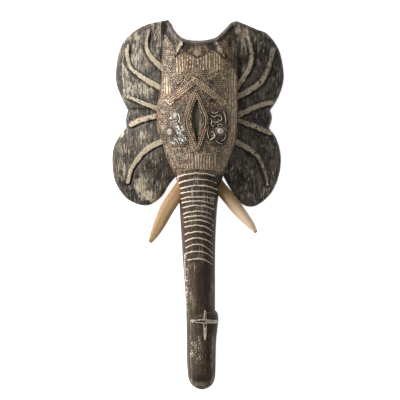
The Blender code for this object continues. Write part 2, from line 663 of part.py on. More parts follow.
def tusk_mesh(name, number, extra):
    """A tapered rod along the tusk's axis, extra thick for the cutter that makes its socket."""
    axis = np.array(TUSK_AXES[number], float)
    heights = TUSK_AXIS_HEIGHT + np.array(TUSK_RISE)
    inward = (axis[0] - axis[1]) / np.linalg.norm(axis[0] - axis[1])
    axis[0] = axis[1] + inward * (SOCKET_DEPTH + extra) / PART
    line = spaced(smooth_curve(place(axis, heights)), TUSK_FACET)
    knot_share = np.linspace(0, 1, len(TUSK_TAPER))
    shares = np.interp(np.linspace(0, 1, len(line)), knot_share, TUSK_TAPER)
    curve = bpy.data.curves.new(name, "CURVE")
    curve.dimensions = "3D"
    curve.bevel_depth = 1.0
    curve.bevel_resolution = 3
    curve.use_fill_caps = True
    spline = curve.splines.new("POLY")
    spline.points.add(len(line) - 1)
    for point, spot, share in zip(spline.points, line, shares):
        point.co = (*spot, 1)
        point.radius = TUSK_RADIUS * TUSK_SCALE[number] * share + extra
    holder = bpy.data.objects.new(name, curve)
    bpy.context.scene.collection.objects.link(holder)
    bpy.context.view_layer.update()
    evaluated = holder.evaluated_get(bpy.context.evaluated_depsgraph_get())
    mesh = bpy.data.meshes.new_from_object(evaluated)
    bm = bmesh.new()
    bm.from_mesh(mesh)
    bmesh.ops.remove_doubles(bm, verts=bm.verts, dist=0.00002)
    bpy.data.objects.remove(holder, do_unlink=True)
    return bm


def add_tusk(name, number, body, look, home, cutters):
    """One tusk, and the socket for it in the carved body."""
    add_object(name, tusk_mesh(name, number, 0.0), look, home)
    cutter = add_object(name + "_socket", tusk_mesh(name + "_socket", number, FIT_GAP), look, cutters)
    cutter.hide_render = True
    cutter.display_type = "WIRE"
    cut = body.modifiers.new(name + "_socket", "BOOLEAN")
    cut.operation = "DIFFERENCE"
    cut.solver = "EXACT"
    cut.object = cutter


def build():
    clear_scene()
    home = collection("elephant_mask")
    cutters = collection("elephant_mask_cutters")
    wood = material("stained_wood", (0.075, 0.062, 0.048), 0.75)
    tusk_wood = material("tusk_wood", (0.48, 0.31, 0.16), 0.6)
    sheet_metal = material("sheet_metal", (0.26, 0.19, 0.125), 0.55, 0.5)
    plate_metal = material("plate_metal", (0.42, 0.38, 0.33), 0.4, 0.8)
    plan = front_plan()
    body = carved_wood(plan, wood, home)
    for number, side in enumerate(("left", "right")):
        add_tusk("tusk_" + side, number, body, tusk_wood, home, cutters)

    def sheet_top(points):
        return wood_front(points) + FIT_GAP + SHEET_THICKNESS

    skin("face_sheet", plan, lambda p: inside(p, SHEET_LOOP) & ~inside(p, SPINDLE_LOOP),
         lambda p: wood_front(p) + FIT_GAP, lambda p: np.full(len(p), SHEET_THICKNESS), sheet_metal, home)
    for loop, side in zip(PLATE_LOOPS, ("left", "right")):
        skin("eye_plate_" + side, plan, lambda p, loop=loop: inside(p, loop),
             lambda p: sheet_top(p) + FIT_GAP, lambda p: PLATE_THICKNESS + eye_boss(p), plate_metal, home)


build()
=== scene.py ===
from math import pi, radians

import bpy
import numpy as np
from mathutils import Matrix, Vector
from mathutils.geometry import delaunay_2d_cdt


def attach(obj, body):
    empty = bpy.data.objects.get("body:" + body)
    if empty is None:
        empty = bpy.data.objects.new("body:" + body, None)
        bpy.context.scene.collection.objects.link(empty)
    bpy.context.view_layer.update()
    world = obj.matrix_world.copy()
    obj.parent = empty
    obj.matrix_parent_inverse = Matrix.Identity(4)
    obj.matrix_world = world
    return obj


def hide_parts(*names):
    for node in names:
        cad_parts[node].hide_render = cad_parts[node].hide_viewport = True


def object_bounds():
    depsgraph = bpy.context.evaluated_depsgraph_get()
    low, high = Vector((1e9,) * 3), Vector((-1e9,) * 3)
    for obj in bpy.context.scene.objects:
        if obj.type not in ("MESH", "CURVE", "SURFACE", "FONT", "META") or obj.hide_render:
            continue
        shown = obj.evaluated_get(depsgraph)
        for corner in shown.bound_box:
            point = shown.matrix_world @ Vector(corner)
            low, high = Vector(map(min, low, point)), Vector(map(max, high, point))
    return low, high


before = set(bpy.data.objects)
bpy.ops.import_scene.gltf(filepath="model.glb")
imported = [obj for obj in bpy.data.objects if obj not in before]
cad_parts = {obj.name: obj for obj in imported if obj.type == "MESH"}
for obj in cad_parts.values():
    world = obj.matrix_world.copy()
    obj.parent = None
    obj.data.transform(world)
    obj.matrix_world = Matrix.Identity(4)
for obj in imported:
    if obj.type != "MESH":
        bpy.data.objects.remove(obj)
cad_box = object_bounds()

# The carved body: head, lobed ears and ringed trunk cut from one board of soft wood, stained nearly
# black and dry brushed with cream that has stayed on the high places. It carries the other pieces, and
# its back is flat, with a plain hollow. Carving is placed in thousandths of the mask's length.

PART = 0.600 / 1000

OUTLINE_RUNS = [
    [(-192, 254), (-208, 285), (-223, 324), (-225, 362), (-214, 421), (-187, 459), (-144, 485), (-82, 499)],
    [(-82, 499), (-72, 484), (-64, 468), (-41, 446), (0, 440), (43, 448), (67, 469), (88, 491), (103, 495),
     (116, 491), (157, 474), (189, 460), (220, 416), (232, 357), (228, 318), (213, 281), (195, 254)],
    [(195, 254), (200, 232), (192, 205)],
    [(192, 205), (212, 177), (224, 132), (220, 81), (200, 32), (165, -1), (136, -8), (108, 7), (85, 43),
     (67, 76)],
    [(67, 76), (57, 38), (50, -19), (46, -97), (45, -165), (45, -232), (45, -290)],
    [(45, -290), (52, -299), (54, -314), (52, -335), (48, -373), (47, -411), (46, -452), (43, -477),
     (32, -494), (9, -503), (-14, -494), (-26, -477), (-30, -452), (-32, -411), (-32, -373), (-33, -314),
     (-34, -286), (-37, -232), (-42, -165), (-46, -97), (-51, -19), (-54, 38), (-62, 74)],
    [(-62, 74), (-80, 52), (-103, 17), (-143, -5), (-194, 13), (-227, 61), (-235, 119), (-227, 165),
     (-196, 208)],
    [(-196, 208), (-197, 231), (-192, 254)],
]
HEAD_LEFT = [(-103, 520), (-103, 438), (-103, 389), (-105, 322), (-115, 254), (-114, 205), (-101, 165),
             (-89, 127), (-73, 95), (-62, 74)]
HEAD_RIGHT = [(114, 520), (114, 438), (112, 389), (110, 322), (111, 254), (110, 205), (103, 165),
              (90, 127), (77, 98), (67, 76)]
TRUNK_LEFT = [(-62, 74), (-54, 38), (-51, -19), (-46, -97), (-42, -165), (-37, -232), (-34, -286),
              (-32, -373), (-32, -411), (-30, -510)]
TRUNK_RIGHT = [*OUTLINE_RUNS[4], *OUTLINE_RUNS[5][1:6], (46, -510)]
HEAD_EDGES = (HEAD_LEFT, HEAD_RIGHT)
HEAD_FOOT = 74

# Heights in metres at places along the mask: the crest of head and trunk, and the ears at the head
CREST = [(510, 0.0350), (438, 0.0530), (389, 0.0672), (322, 0.0760), (254, 0.0800), (165, 0.0776),
         (92, 0.0696), (38, 0.0610), (-97, 0.0543), (-286, 0.0470), (-452, 0.0470), (-485, 0.0400),
         (-510, 0.0282)]
EAR_ROOT = [(50, 0.026), (150, 0.044), (340, 0.044), (470, 0.035)]
EAR_EDGE_HEIGHT = 0.018
EAR_REACH = 118
EDGE_RADIUS = 0.006
DOME_SIDE = 0.42
DOME_ROUNDNESS = 2.4
TRUNK_JOIN = 59
CROWN_FOOT = 387
BACK_WALL = SIDE_WALL = 0.014
HOLLOW_EDGE = 0.020
FRONT_PITCH = 1.82
BACK_PITCH = 9.0
OUTLINE_SPACING = 2.1

# Ear ribs: centre line from the head out, width at the head and at the end, and how much of the cream
# is left at the head and at the end. The right ear's ribs are given less, partly painted shade on the ear
# that faces away from the lamp
RIBS = [
    ([(-101, 370), (-119, 386), (-135, 408), (-141, 430), (-139, 449), (-135, 469)], 14, 8, 1.0, 0.62),
    ([(-104, 314), (-145, 338), (-180, 364), (-189, 381), (-192, 403), (-192, 430)], 16, 7, 0.92, 0.70),
    ([(-114, 257), (-141, 269), (-162, 278), (-191, 290)], 12, 10, 0.80, 0.75),
    ([(-115, 237), (-154, 227), (-182, 215)], 12, 17, 0.72, 0.70),
    ([(-99, 168), (-128, 154), (-148, 139), (-169, 115), (-184, 89), (-192, 57)], 16, 8, 1.0, 0.90),
    ([(109, 322), (120, 338), (137, 366), (145, 396), (141, 424), (136, 449)], 13, 9, 0.74, 0.66),
    ([(110, 291), (141, 308), (168, 328), (185, 355), (197, 389), (204, 419)], 15, 9, 0.85, 0.50),
    ([(111, 241), (154, 261), (184, 272), (200, 274)], 14, 12, 0.78, 0.80),
    ([(111, 224), (154, 208), (193, 192)], 12, 13, 0.58, 0.66),
    ([(104, 166), (134, 149), (157, 132), (170, 112), (181, 85), (188, 51)], 14, 7, 0.80, 0.50),
]
RIB_HEIGHT = 0.0024
RIB_BEVEL = 2.5
RIB_GROOVE = 0.0011
RIB_REACH = 24
MIDDLE_LOBES = [[(-113, 246), (-150, 244), (-205, 231)], [(109, 232), (150, 234), (208, 231)]]
MIDDLE_WIDTHS = (7, 25)
MIDDLE_RECESS = 0.0030

# Rings: place of the middle, how far the left and right ends lie below it, and the left and right ends
RINGS = [(82, 9, 14, -0.98, 0.72), (66, 8, 13, -0.97, 0.80), (49, 7, 9, -0.98, 0.95), (34, 6, 6, -0.92, 0.90),
         (19, 5, 7, -0.92, 0.88), (7, 5, 9, -0.90, 0.82), (-5, 7, 10, -0.84, 0.86), (-20, 8, 11, -0.84, 0.88),
         (-32, 7, 13, -0.82, 0.88), (-44, 8, 15, -0.80, 0.88), (-58, 7, 18, -0.80, 0.88),
         (-75, 10, 16, -0.80, 0.88), (-92, 11, 18, -0.80, 0.86), (-109, 12, 25, -0.80, 0.88),
         (-128, 8, 19, -0.82, 0.88), (-148, 7, 17, -0.76, 0.84)]
RING_HEIGHT = 0.0018
RING_HALF_WIDTH = 2.9
RING_CREAM_HALF_WIDTH = 2.5
RING_REACH = 0.92
RING_SIDE = 0.84

RIM_WIDTH = 12
CREASE_WIDTH = 7
RIM_RELIEF = 0.0022
SPIKES = [[(-46, 432), (-55, 414), (-64, 395)], [(48, 432), (60, 416), (71, 397)]]
SPIKE_WIDTHS = (5.5, 1.2)

TIP_EDGE = [(-21, -489), (-21, -470), (-21, -400), (-20, -330), (-14, -309), (4, -298), (20, -293),
            (41, -291), (52, -297)]
TIP_CORNERS = [(90, -297), (90, -520), (-21, -520)]
TIP_STEP = 0.0060
# Each arm: its line, how much wider its end is, whether it is parted in petals, where its fill is full
CROSS = [([(18, -290), (18, -316), (18, -364)], 0, True, 0.62),
         ([(-19, -316), (18, -317), (49, -318)], 2.5, False, 0.60)]
CROSS_HALF_WIDTH = 5.0
CROSS_HEIGHT = 0.0014

# The sheet's edge and the band, chevron and hollow under it, which the wood was carved with first
SHEET_RUNS = [
    [(-95, 449), (-84, 452)],
    [(-84, 452), (-74, 434), (-64, 418), (-62, 395)],
    [(-62, 395), (-54, 401), (-46, 405), (-35, 408), (-22, 401), (-4, 391)],
    [(-4, 391), (14, 397), (27, 409), (38, 413), (51, 406), (71, 387)],
    [(71, 387), (86, 373), (105, 343)],
    [(105, 343), (103, 322), (104, 254), (102, 205), (96, 165), (83, 127), (71, 98), (66, 85)],
    [(66, 85), (35, 88), (0, 91), (-32, 88), (-62, 83)],
    [(-62, 83), (-69, 98), (-83, 127), (-94, 165), (-107, 205), (-108, 254), (-98, 322), (-96, 389),
     (-95, 449)],
]
SPINDLE = [(-4, 280), (-15, 256), (-20, 230), (-13, 194), (-3, 163), (3, 194), (6, 224), (3, 256)]
LENS = [(-7, 300), (-25, 262), (-37, 216), (-23, 175), (-3, 141), (14, 178), (26, 222), (13, 262)]
CHEVRON = [[(-8, 330), (-30, 312), (-52, 294), (-76, 272)], [(-8, 330), (14, 314), (38, 294), (66, 272)]]
CHEVRON_HALF_WIDTH = 8.0
BAND_HEIGHT = 0.0026
SPINDLE_DEPTH = 0.0045
LEAVES = [((37, 325), (20, 9), -0.7), ((40, 275), (24, 10), -0.1), ((-52, 319), (15, 6), 0.6),
          ((-58, 277), (16, 6), 0.3)]
LEAF_DEPTH = 0.0014

# Cream that wear or a careless brush has left away from the carving: line, half width, strength
CREAM_MARKS = [
    ([(-103, 494), (-104, 460), (-103, 425)], 1.6, 0.8),
    ([(-112, 488), (-109, 470), (-112, 452)], 6.0, 0.34),
    ([(118, 470), (122, 452), (118, 436)], 7.0, 0.34), ([(108, 474), (114, 462)], 4.0, 0.3),
    ([(-211, 180), (-214, 165), (-213, 148)], 2.2, 0.45), ([(-204, 192), (-209, 182)], 4.0, 0.8),
    ([(159, 181), (150, 157), (140, 146)], 1.3, 0.42), ([(150, 157), (158, 150)], 1.1, 0.36),
    ([(197, 116), (200, 96)], 1.6, 0.4), ([(-37, -136), (-37, -180), (-35, -210)], 2.4, 0.52),
    ([(-34, -222), (-32, -290)], 2.0, 0.5),
    ([(-27, -150), (-26, -190), (-24, -235), (-24, -268)], 1.4, 0.34),
    ([(-21, -318), (-22, -370), (-21, -440)], 1.5, 0.44),
    ([(-21, -474), (-14, -488), (-6, -494)], 1.6, 0.5),
    ([(40, -466), (36, -480), (26, -490)], 1.6, 0.48),
    ([(-12, -294), (-6, -304), (-14, -312)], 1.6, 0.3), ([(-6, -498), (8, -500), (22, -495)], 1.4, 0.42),
    ([(-27, 39), (-27, 10)], 1.0, 0.45), ([(-13, 52), (-13, 40)], 0.9, 0.4),
    ([(-2, -6), (-2, -12)], 1.6, 0.45), ([(-54, 76), (-56, 60)], 3.0, 0.45),
    ([(-148, 112), (-146, 94)], 1.4, 0.5), ([(-160, 60), (-146, 34), (-124, 12)], 11.0, 0.5),
    ([(-196, 372), (-194, 340), (-194, 312)], 2.4, 0.38),
]
# Tan and grey-brown paint, thinner than the cream. The broad patches on the left ear are painted light,
# brightening the ear that faces the lamp. Here and below a patch is its middle, half sizes and
# strength.
TAN_PATCHES = [
    (-7, 403, 13, 13, 0.62), (-92, 487, 13, 12, 0.25), (104, 472, 12, 14, 0.5), (126, 448, 13, 36, 0.72),
    (88, 405, 8, 34, 0.42), (97, 345, 13, 46, 0.4), (122, 460, 13, 18, 0.42), (-92, 440, 12, 26, 0.35),
    (60, 414, 12, 16, 0.62), (-210, 92, 17, 40, 0.5), (-215, 150, 8, 30, 0.4), (-190, 352, 26, 60, 0.34),
    (-150, 474, 36, 14, 0.45), (8, -488, 26, 9, 0.55), (-140, 385, 30, 40, 0.42),
    (-165, 180, 34, 40, 0.22), (-148, 40, 28, 30, 0.5), (-150, 300, 30, 24, 0.3),
    (-80, 430, 12, 30, 0.5), (150, 150, 30, 30, 0.16),
]
# Places where dirt and stain have pooled, and the shade under the rim
DARK_PATCHES = [
    (-33, 424, 17, 17, 0.72), (35, 424, 17, 13, 0.72), (-4, 432, 40, 8, 0.42), (-16, 402, 8, 12, 0.5),
    (16, 404, 8, 12, 0.55), (-93, 474, 9, 22, 0.85), (-78, 448, 5, 20, 0.7), (84, 466, 8, 13, 0.6),
    (84, 436, 8, 18, 0.65), (98, 400, 6, 40, 0.5), (74, 396, 5, 12, 0.6), (-140, 425, 9, 34, 0.45),
    (-160, 445, 20, 8, 0.4), (-200, 10, 40, 14, 0.5), (-120, 40, 20, 30, 0.35), (0, -470, 26, 12, 0.55),
    (10, -215, 20, 80, 0.52), (178, 380, 22, 60, 0.3),
]
# Dark lines, painted shade together with dirt: in the creases inside the rim, under the edge of the sheet's V
# and left arch, down the head's right side and along the trunk's sides
DARK_LINES = [
    ([(-99, 484), (-86, 460), (-64, 431)], 4.5, 0.85), ([(92, 480), (76, 452), (62, 440)], 3.5, 0.5),
    ([(112, 440), (110, 400), (104, 350)], 4.0, 0.5), ([(96, 392), (92, 350), (90, 310)], 3.0, 0.4),
    ([(-12, 398), (-4, 391), (5, 396)], 3.0, 0.9), ([(-58, 398), (-44, 406), (-30, 404)], 2.5, 0.7),
    ([(62, 74), (54, 30), (47, -20), (45, -97)], 6.0, 0.5),
    ([(45, -97), (45, -180), (44, -285)], 5.0, 0.6), ([(-53, 20), (-48, -40), (-44, -110)], 4.0, 0.5),
]
# Where a dry brush has left streaks along the grain, and hatching on the tip
BRUSHED_PATCHES = [
    (-197, 348, 15, 74, 0.85), (-186, 300, 20, 40, 0.6), (-150, 318, 34, 34, 0.6),
    (-165, 400, 30, 50, 0.55), (-118, 466, 22, 30, 0.65), (-178, 446, 36, 26, 0.7),
    (-120, 420, 16, 40, 0.55), (-134, 300, 18, 24, 0.6), (-150, 230, 30, 10, 0.4),
    (-158, 50, 20, 26, 1.0), (-140, 22, 26, 18, 1.0), (-210, 92, 18, 44, 0.55), (-143, 178, 26, 24, 0.6),
    (-151, 68, 16, 18, 0.6), (-116, 52, 22, 18, 0.45), (-200, 150, 20, 24, 0.4),
    (-185, 20, 30, 20, 0.35), (-120, 110, 20, 30, 0.25), (160, 470, 44, 16, 0.38),
    (212, 400, 14, 50, 0.36), (218, 330, 12, 36, 0.3), (165, 440, 20, 24, 0.42),
    (175, 400, 14, 30, 0.24), (128, 360, 16, 60, 0.24), (150, 36, 46, 36, 0.26), (196, 60, 20, 46, 0.36),
    (130, 90, 34, 40, 0.24), (205, 140, 12, 30, 0.26), (120, 30, 20, 20, 0.4), (170, 160, 30, 24, 0.14),
    (100, 440, 12, 50, 0.5), (84, 92, 14, 22, 0.55), (2, -400, 18, 40, 0.3), (36, -395, 9, 60, 0.5),
    (-26, -230, 9, 90, 0.5), (36, -250, 9, 50, 0.35), (-16, -230, 14, 70, 0.3), (5, 0, 44, 120, 0.42),
    (-80, 440, 20, 36, 0.6), (-140, 385, 30, 36, 0.35), (10, -130, 40, 40, 0.35),
    (-16, -170, 14, 14, 0.7), (38, 10, 8, 8, 0.9),
]
HATCHED_PATCHES = [
    (-4, -392, 24, 54, 1.0), (34, -396, 10, 40, 0.5), (4, -440, 22, 22, 0.6),
]
# Greenish wear on the trunk
GREEN_PATCHES = [
    (38, 12, 9, 12, 0.9), (34, -255, 8, 34, 0.6), (4, -484, 24, 8, 0.7), (37, -390, 8, 50, 0.6),
    (-10, -378, 15, 30, 0.42), (4, -412, 16, 34, 0.4), (0, -30, 40, 90, 0.22),
]


def smooth_curve(points, closed=False, steps=12):
    """A smooth curve through the points."""
    points = np.array(points, float)
    if closed:
        padded = np.vstack([points[-1], points, points[:2]])
    else:
        padded = np.vstack([2 * points[0] - points[1], points, 2 * points[-1] - points[-2]])
    t = np.linspace(0, 1, steps, endpoint=False)[:, None]
    spans = []
    for a, b, c, d in zip(padded, padded[1:], padded[2:], padded[3:]):
        spans.append(0.5 * (2 * b + (c - a) * t + (2 * a - 5 * b + 4 * c - d) * t**2
                            + (3 * b - a - 3 * c + d) * t**3))
    if not closed:
        spans.append(points[-1:])
    return np.vstack(spans)


def travel_of(line):
    """How far along the line each of its points lies."""
    return np.concatenate([[0], np.cumsum(np.linalg.norm(np.diff(line, axis=0), axis=1))])


def spaced(points, spacing, closed=False):
    """The same line with evenly spaced points."""
    points = np.vstack([points, points[:1]]) if closed else points
    travel = travel_of(points)
    wanted = np.linspace(0, travel[-1], max(2, int(round(travel[-1] / spacing))) + 1)
    line = np.column_stack([np.interp(wanted, travel, column) for column in points.T])
    return line[:-1] if closed else line


def runs_to_loop(runs, spacing):
    return np.vstack([spaced(smooth_curve(run, steps=24), spacing)[:-1] for run in runs])


def near(points, line, reach=1e9, closed=False):
    """Distance of each point to a line, and how far along the line that is; 'reach' where it is farther."""
    line = np.vstack([line, line[:1]]) if closed else np.asarray(line, float)
    travel = travel_of(line)
    gaps = np.full(len(points), float(reach))
    places = np.zeros(len(points))
    for first in range(0, len(line) - 1, 12):
        stretch = line[first:first + 13]
        low, high = stretch.min(axis=0) - reach, stretch.max(axis=0) + reach
        rows = np.nonzero(((points > low) & (points < high)).all(axis=1))[0]
        if len(rows) == 0:
            continue
        for number in range(first, first + len(stretch) - 1):
            step = line[number + 1] - line[number]
            span = max(np.hypot(*step), 1e-9)
            away = points[rows] - line[number]
            share = np.clip(away @ step / span**2, 0, 1)
            gap = np.hypot(away[:, 0] - share * step[0], away[:, 1] - share * step[1])
            closer = gap < gaps[rows]
            gaps[rows[closer]] = gap[closer]
            places[rows[closer]] = travel[number] + share[closer] * span
    return gaps, places


def beside(points, line, reach):
    """Distance of each point to a smooth line, and the share of the line that lies before it."""
    curve = smooth_curve(line)
    gap, place = near(points, curve, reach)
    return gap, place / travel_of(curve)[-1]


def between(first, last, share):
    return first + (last - first) * share


def most(*layers):
    """The strongest of several layers at each point."""
    return np.maximum.reduce(layers)


def inside(points, loop):
    """Whether each point is inside a closed loop."""
    found = np.zeros(len(points), bool)
    x0, y0 = loop[:, 0], loop[:, 1]
    x1, y1 = np.roll(x0, -1), np.roll(y0, -1)
    rise = np.where(y1 == y0, 1e-9, y1 - y0)
    for first in range(0, len(points), 8000):
        x, y = points[first:first + 8000, 0:1], points[first:first + 8000, 1:2]
        crossed = ((y0 > y) != (y1 > y)) & (x < x0 + (y - y0) / rise * (x1 - x0))
        found[first:first + 8000] = crossed.sum(axis=1) % 2 == 1
    return found


def ramp(values, start, end):
    share = np.clip((values - start) / (end - start), 0, 1)
    return share * share * (3 - 2 * share)


def mottle(points, size, seed, stretch=(1.0, 1.0)):
    """Soft blotches between 0 and 1, of about the given size."""
    table = np.random.default_rng(seed).random((64, 64))
    spot = points / (np.array(stretch) * size) + 640.5
    cell = np.floor(spot).astype(int)
    part = spot - cell
    part = part * part * (3 - 2 * part)
    i, j = cell[:, 0] % 64, cell[:, 1] % 64
    low = table[i, j] * (1 - part[:, 0]) + table[(i + 1) % 64, j] * part[:, 0]
    high = table[i, (j + 1) % 64] * (1 - part[:, 0]) + table[(i + 1) % 64, (j + 1) % 64] * part[:, 0]
    return low * (1 - part[:, 1]) + high * part[:, 1]


def patches(points, spots):
    """How strongly each point is covered by soft-edged oval patches."""
    cover = np.zeros(len(points))
    for x, y, wide, high, strength in spots:
        away = np.linalg.norm((points - (x, y)) / (wide, high), axis=1)
        cover = np.maximum(cover, strength * ramp(1.25 - away, 0, 0.75))
    return cover


def strokes(points, rows, margin, fade):
    """How strongly each point is covered by soft-edged lines of a given half width and strength."""
    cover = np.zeros(len(points))
    for line, half, strength in rows:
        gap = near(points, smooth_curve(line), 14)[0]
        cover = np.maximum(cover, strength * ramp(half + margin - gap, 0, fade))
    return cover


OUTLINE = runs_to_loop(OUTLINE_RUNS, OUTLINE_SPACING)
MIDDLE = (OUTLINE.min(axis=0) + OUTLINE.max(axis=0)) / 2
LEFT_EDGE = np.vstack([smooth_curve(HEAD_LEFT), smooth_curve(TRUNK_LEFT)[1:]])
RIGHT_EDGE = np.vstack([smooth_curve(HEAD_RIGHT), smooth_curve(TRUNK_RIGHT)[1:]])
NOTCH = smooth_curve(OUTLINE_RUNS[1][:9])
CREST_LINE = smooth_curve(CREST)
SHEET_LOOP = runs_to_loop(SHEET_RUNS, 2.0)
SHEET_TOP = np.vstack([smooth_curve(run) for run in SHEET_RUNS[2:4]])
SPINDLE_LOOP = spaced(smooth_curve(SPINDLE, closed=True), 2.0, closed=True)
LENS_LOOP = spaced(smooth_curve(LENS, closed=True), 3.0, closed=True)


def at_height(line, y):
    order = line[:, 1].argsort()
    return np.interp(y, line[order, 1], line[order, 0])


def crossways(points):
    """Place across the head or trunk, from -1 at its left edge to 1 at its right."""
    left, right = at_height(LEFT_EDGE, points[:, 1]), at_height(RIGHT_EDGE, points[:, 1])
    return (2 * points[:, 0] - left - right) / (right - left)


def dome_height(points):
    across = np.clip(np.abs(crossways(points)), 0, 1)
    crest = np.interp(points[:, 1], CREST_LINE[::-1, 0], CREST_LINE[::-1, 1])
    return crest * between(DOME_SIDE, 1, np.sqrt(1 - across**DOME_ROUNDNESS))


def on_dome(points):
    left, right = at_height(LEFT_EDGE, points[:, 1]), at_height(RIGHT_EDGE, points[:, 1])
    beyond = np.maximum(left - points[:, 0], points[:, 0] - right)
    return beyond < np.where(points[:, 1] > TRUNK_JOIN, 1, 3)


def ring_shape(points):
    """The raised rings round the trunk's front: their height and the cream left on them."""
    across = crossways(points)
    wobble = 2.2 * (mottle(points, 12, 3) - 0.5)
    height, cream = np.zeros(len(points)), np.zeros(len(points))
    for number, (place, left_fall, right_fall, left_end, right_end) in enumerate(RINGS):
        fall = np.where(across < 0, left_fall, right_fall) * (np.clip(across, -1, 1) / RING_SIDE) ** 2
        away = np.abs(points[:, 1] - place + fall + wobble)
        ends = ramp(RING_REACH - np.abs(across), -0.05, 0.06)
        height = np.maximum(height, ramp(RING_HALF_WIDTH - away, 0, 2.4) * ends)
        painted = ramp(across, left_end - 0.03, left_end + 0.04) * ramp(right_end - across, -0.04, 0.05)
        fade = 0.98 - 0.30 * ramp(across, 0.20, 0.75) - 0.05 * max(0, number - 12)
        worn = 0.30 * ramp(mottle(points, 8, 200 + number), 0.62, 0.85)
        cream = np.maximum(cream, ramp(RING_CREAM_HALF_WIDTH - away, 0, 1.3) * painted * (fade - worn))
    return RING_HEIGHT * height, cream


def rib_shape(points):
    """The ears' ribs: how raised, how deep the cut beside them is, the cream left on them, and the dark
    beside them, painted shadow and dirt, strongest on their lower side.
    """
    raised, cut, cream, dark = np.zeros((4, len(points)))
    for number, (line, wide, narrow, at_head, at_end) in enumerate(RIBS):
        start = np.array(line[0], float)
        curve = smooth_curve([start + 0.5 * (start - np.array(line[1], float)), *line], steps=10)
        gap, place = near(points, curve, RIB_REACH)
        close = gap < RIB_REACH - 1
        travel = travel_of(curve)
        share = place / travel[-1]
        half = between(wide, narrow, share) / 2 + 1.8 * (mottle(points, 9, 20 + number) - 0.5)
        below = ramp(np.interp(place, travel, curve[:, 1]) - points[:, 1], -1, 2)
        raised = np.maximum(raised, ramp(half + RIB_BEVEL - gap, 0, RIB_BEVEL))
        groove = ramp(4.6 - np.abs(gap - half - 3.0), 0, 3.0) * close
        cut = np.maximum(cut, groove * (0.35 + 0.65 * below))
        painted = half + 0.8 - 1.6 * share + 2.0 * (mottle(points, 4.5, 40 + number) - 0.5)
        left = between(at_head, at_end, ramp(share, 0.25, 0.75))
        left = left - 0.6 * ramp(mottle(points, 3.6, 110 + number), 0.74, 0.92)
        cream = np.maximum(cream, ramp(painted + 0.9 - gap, 0, 1.5) * left)
        # Painted shadow with some dirt beside each rib, darkest along its lower side
        shadow_and_dirt = 2.3 + 1.6 * mottle(points, 9, 120 + number) + 1.2 * below
        shadow_and_dirt = ramp(shadow_and_dirt - np.abs(gap - half - 1.4 - below), 0, 1.5) * close
        uneven = 0.55 + 0.45 * ramp(mottle(points, 16, 140 + number), 0.3, 0.6)
        dark = np.maximum(dark, shadow_and_dirt * uneven * (0.4 + 0.6 * below))
    return raised, cut * (1 - raised), cream, dark


def ear_height(points, raised, cut):
    away = most(*[-near(points, smooth_curve(edge))[0] for edge in HEAD_EDGES])
    root = np.interp(points[:, 1], *zip(*EAR_ROOT))
    height = between(root, EAR_EDGE_HEIGHT, np.clip(-away / EAR_REACH, 0, 1) ** 1.5)
    for line in MIDDLE_LOBES:
        gap, share = beside(points, line, 60)
        height = height - MIDDLE_RECESS * ramp(between(*MIDDLE_WIDTHS, share) - gap, -4, 4)
    gouges = 0.0005 * (mottle(points, 9, 7, (0.8, 4.0)) - 0.5)
    gouges = gouges + 0.0004 * (mottle(points, 3.4, 8, (1, 6)) - 0.5)
    return height + RIB_HEIGHT * raised - RIB_GROOVE * cut + gouges


def crown_and_tip(points):
    """Relief of the rim along the notch, the spikes, the curled tip and its cross, with their cream and their
    dark: painted shade in the rim's crease and at the foot of the tip, and the cross's outline.
    """
    cream = np.zeros(len(points))
    notch_gap = near(points, NOTCH, 60)[0]
    on_head = (points[:, 1] > CROWN_FOOT) & (np.abs(crossways(points)) <= 1)
    rim = ramp(RIM_WIDTH - notch_gap, 0, 4)
    crease = ramp(notch_gap, RIM_WIDTH, RIM_WIDTH + 2)
    crease = crease * ramp(RIM_WIDTH + CREASE_WIDTH - notch_gap, 0, 4)
    relief = np.where(on_head, RIM_RELIEF * (rim - crease), 0)
    uneven = ramp(mottle(points, 13, 74), 0.25, 0.6)
    uneven = uneven * (0.35 + 0.65 * ramp(np.abs(points[:, 0] - 2), 36, 56))
    # Painted shade in the crease inside the rim, darker towards the sides
    dark = np.where(on_head, 0.9 * crease * uneven, 0)
    for line in SPIKES:
        gap, share = beside(points, line, 20)
        half = between(*SPIKE_WIDTHS, share)
        relief = np.maximum(relief, 1.2 * RIM_RELIEF * ramp(half + 2 - gap, 0, 2.5))
        cream = np.maximum(cream, (0.44 - 0.001 * line[0][0]) * ramp(half + 0.8 - gap, 0, 2.2))
    edge = smooth_curve(TIP_EDGE)
    on_tip = inside(points, np.vstack([edge, TIP_CORNERS]))
    edge_gap = near(points, edge, 40)[0]
    relief += TIP_STEP * np.where(on_tip, ramp(edge_gap, 0, 4), 0)
    above_tip = ~on_tip & (points[:, 1] < -270)
    # Painted shade on the trunk at the foot of the tip's raised edge
    dark = np.maximum(dark, np.where(above_tip, 0.6 * ramp(7 - edge_gap, 0, 6), 0))
    for line, widening, parted, full in CROSS:
        gap, share = beside(points, line, 20)
        half = CROSS_HALF_WIDTH * (0.45 + 0.55 * np.sin(pi * np.clip(share, 0, 1))) + widening * share
        relief += CROSS_HEIGHT * ramp(half + 1.6 - gap, 0, 2.0)
        petal = ramp(np.abs(share - 0.38), 0.02, 0.10) if parted else 1.0
        edging = 0.8 * ramp(1.5 - np.abs(gap - half * 0.72), 0, 1.1)
        fill_in = 0.62 * ramp(half * 0.8 - gap, 0, 2) * ramp(share, 0.5, full)
        cream = np.maximum(cream, np.maximum(edging, fill_in) * petal)
        dark = np.maximum(dark, 0.7 * ramp(2.6 - np.abs(gap - half - 2.0), 0, 2.0) * (gap < 19))
    return relief, cream, dark


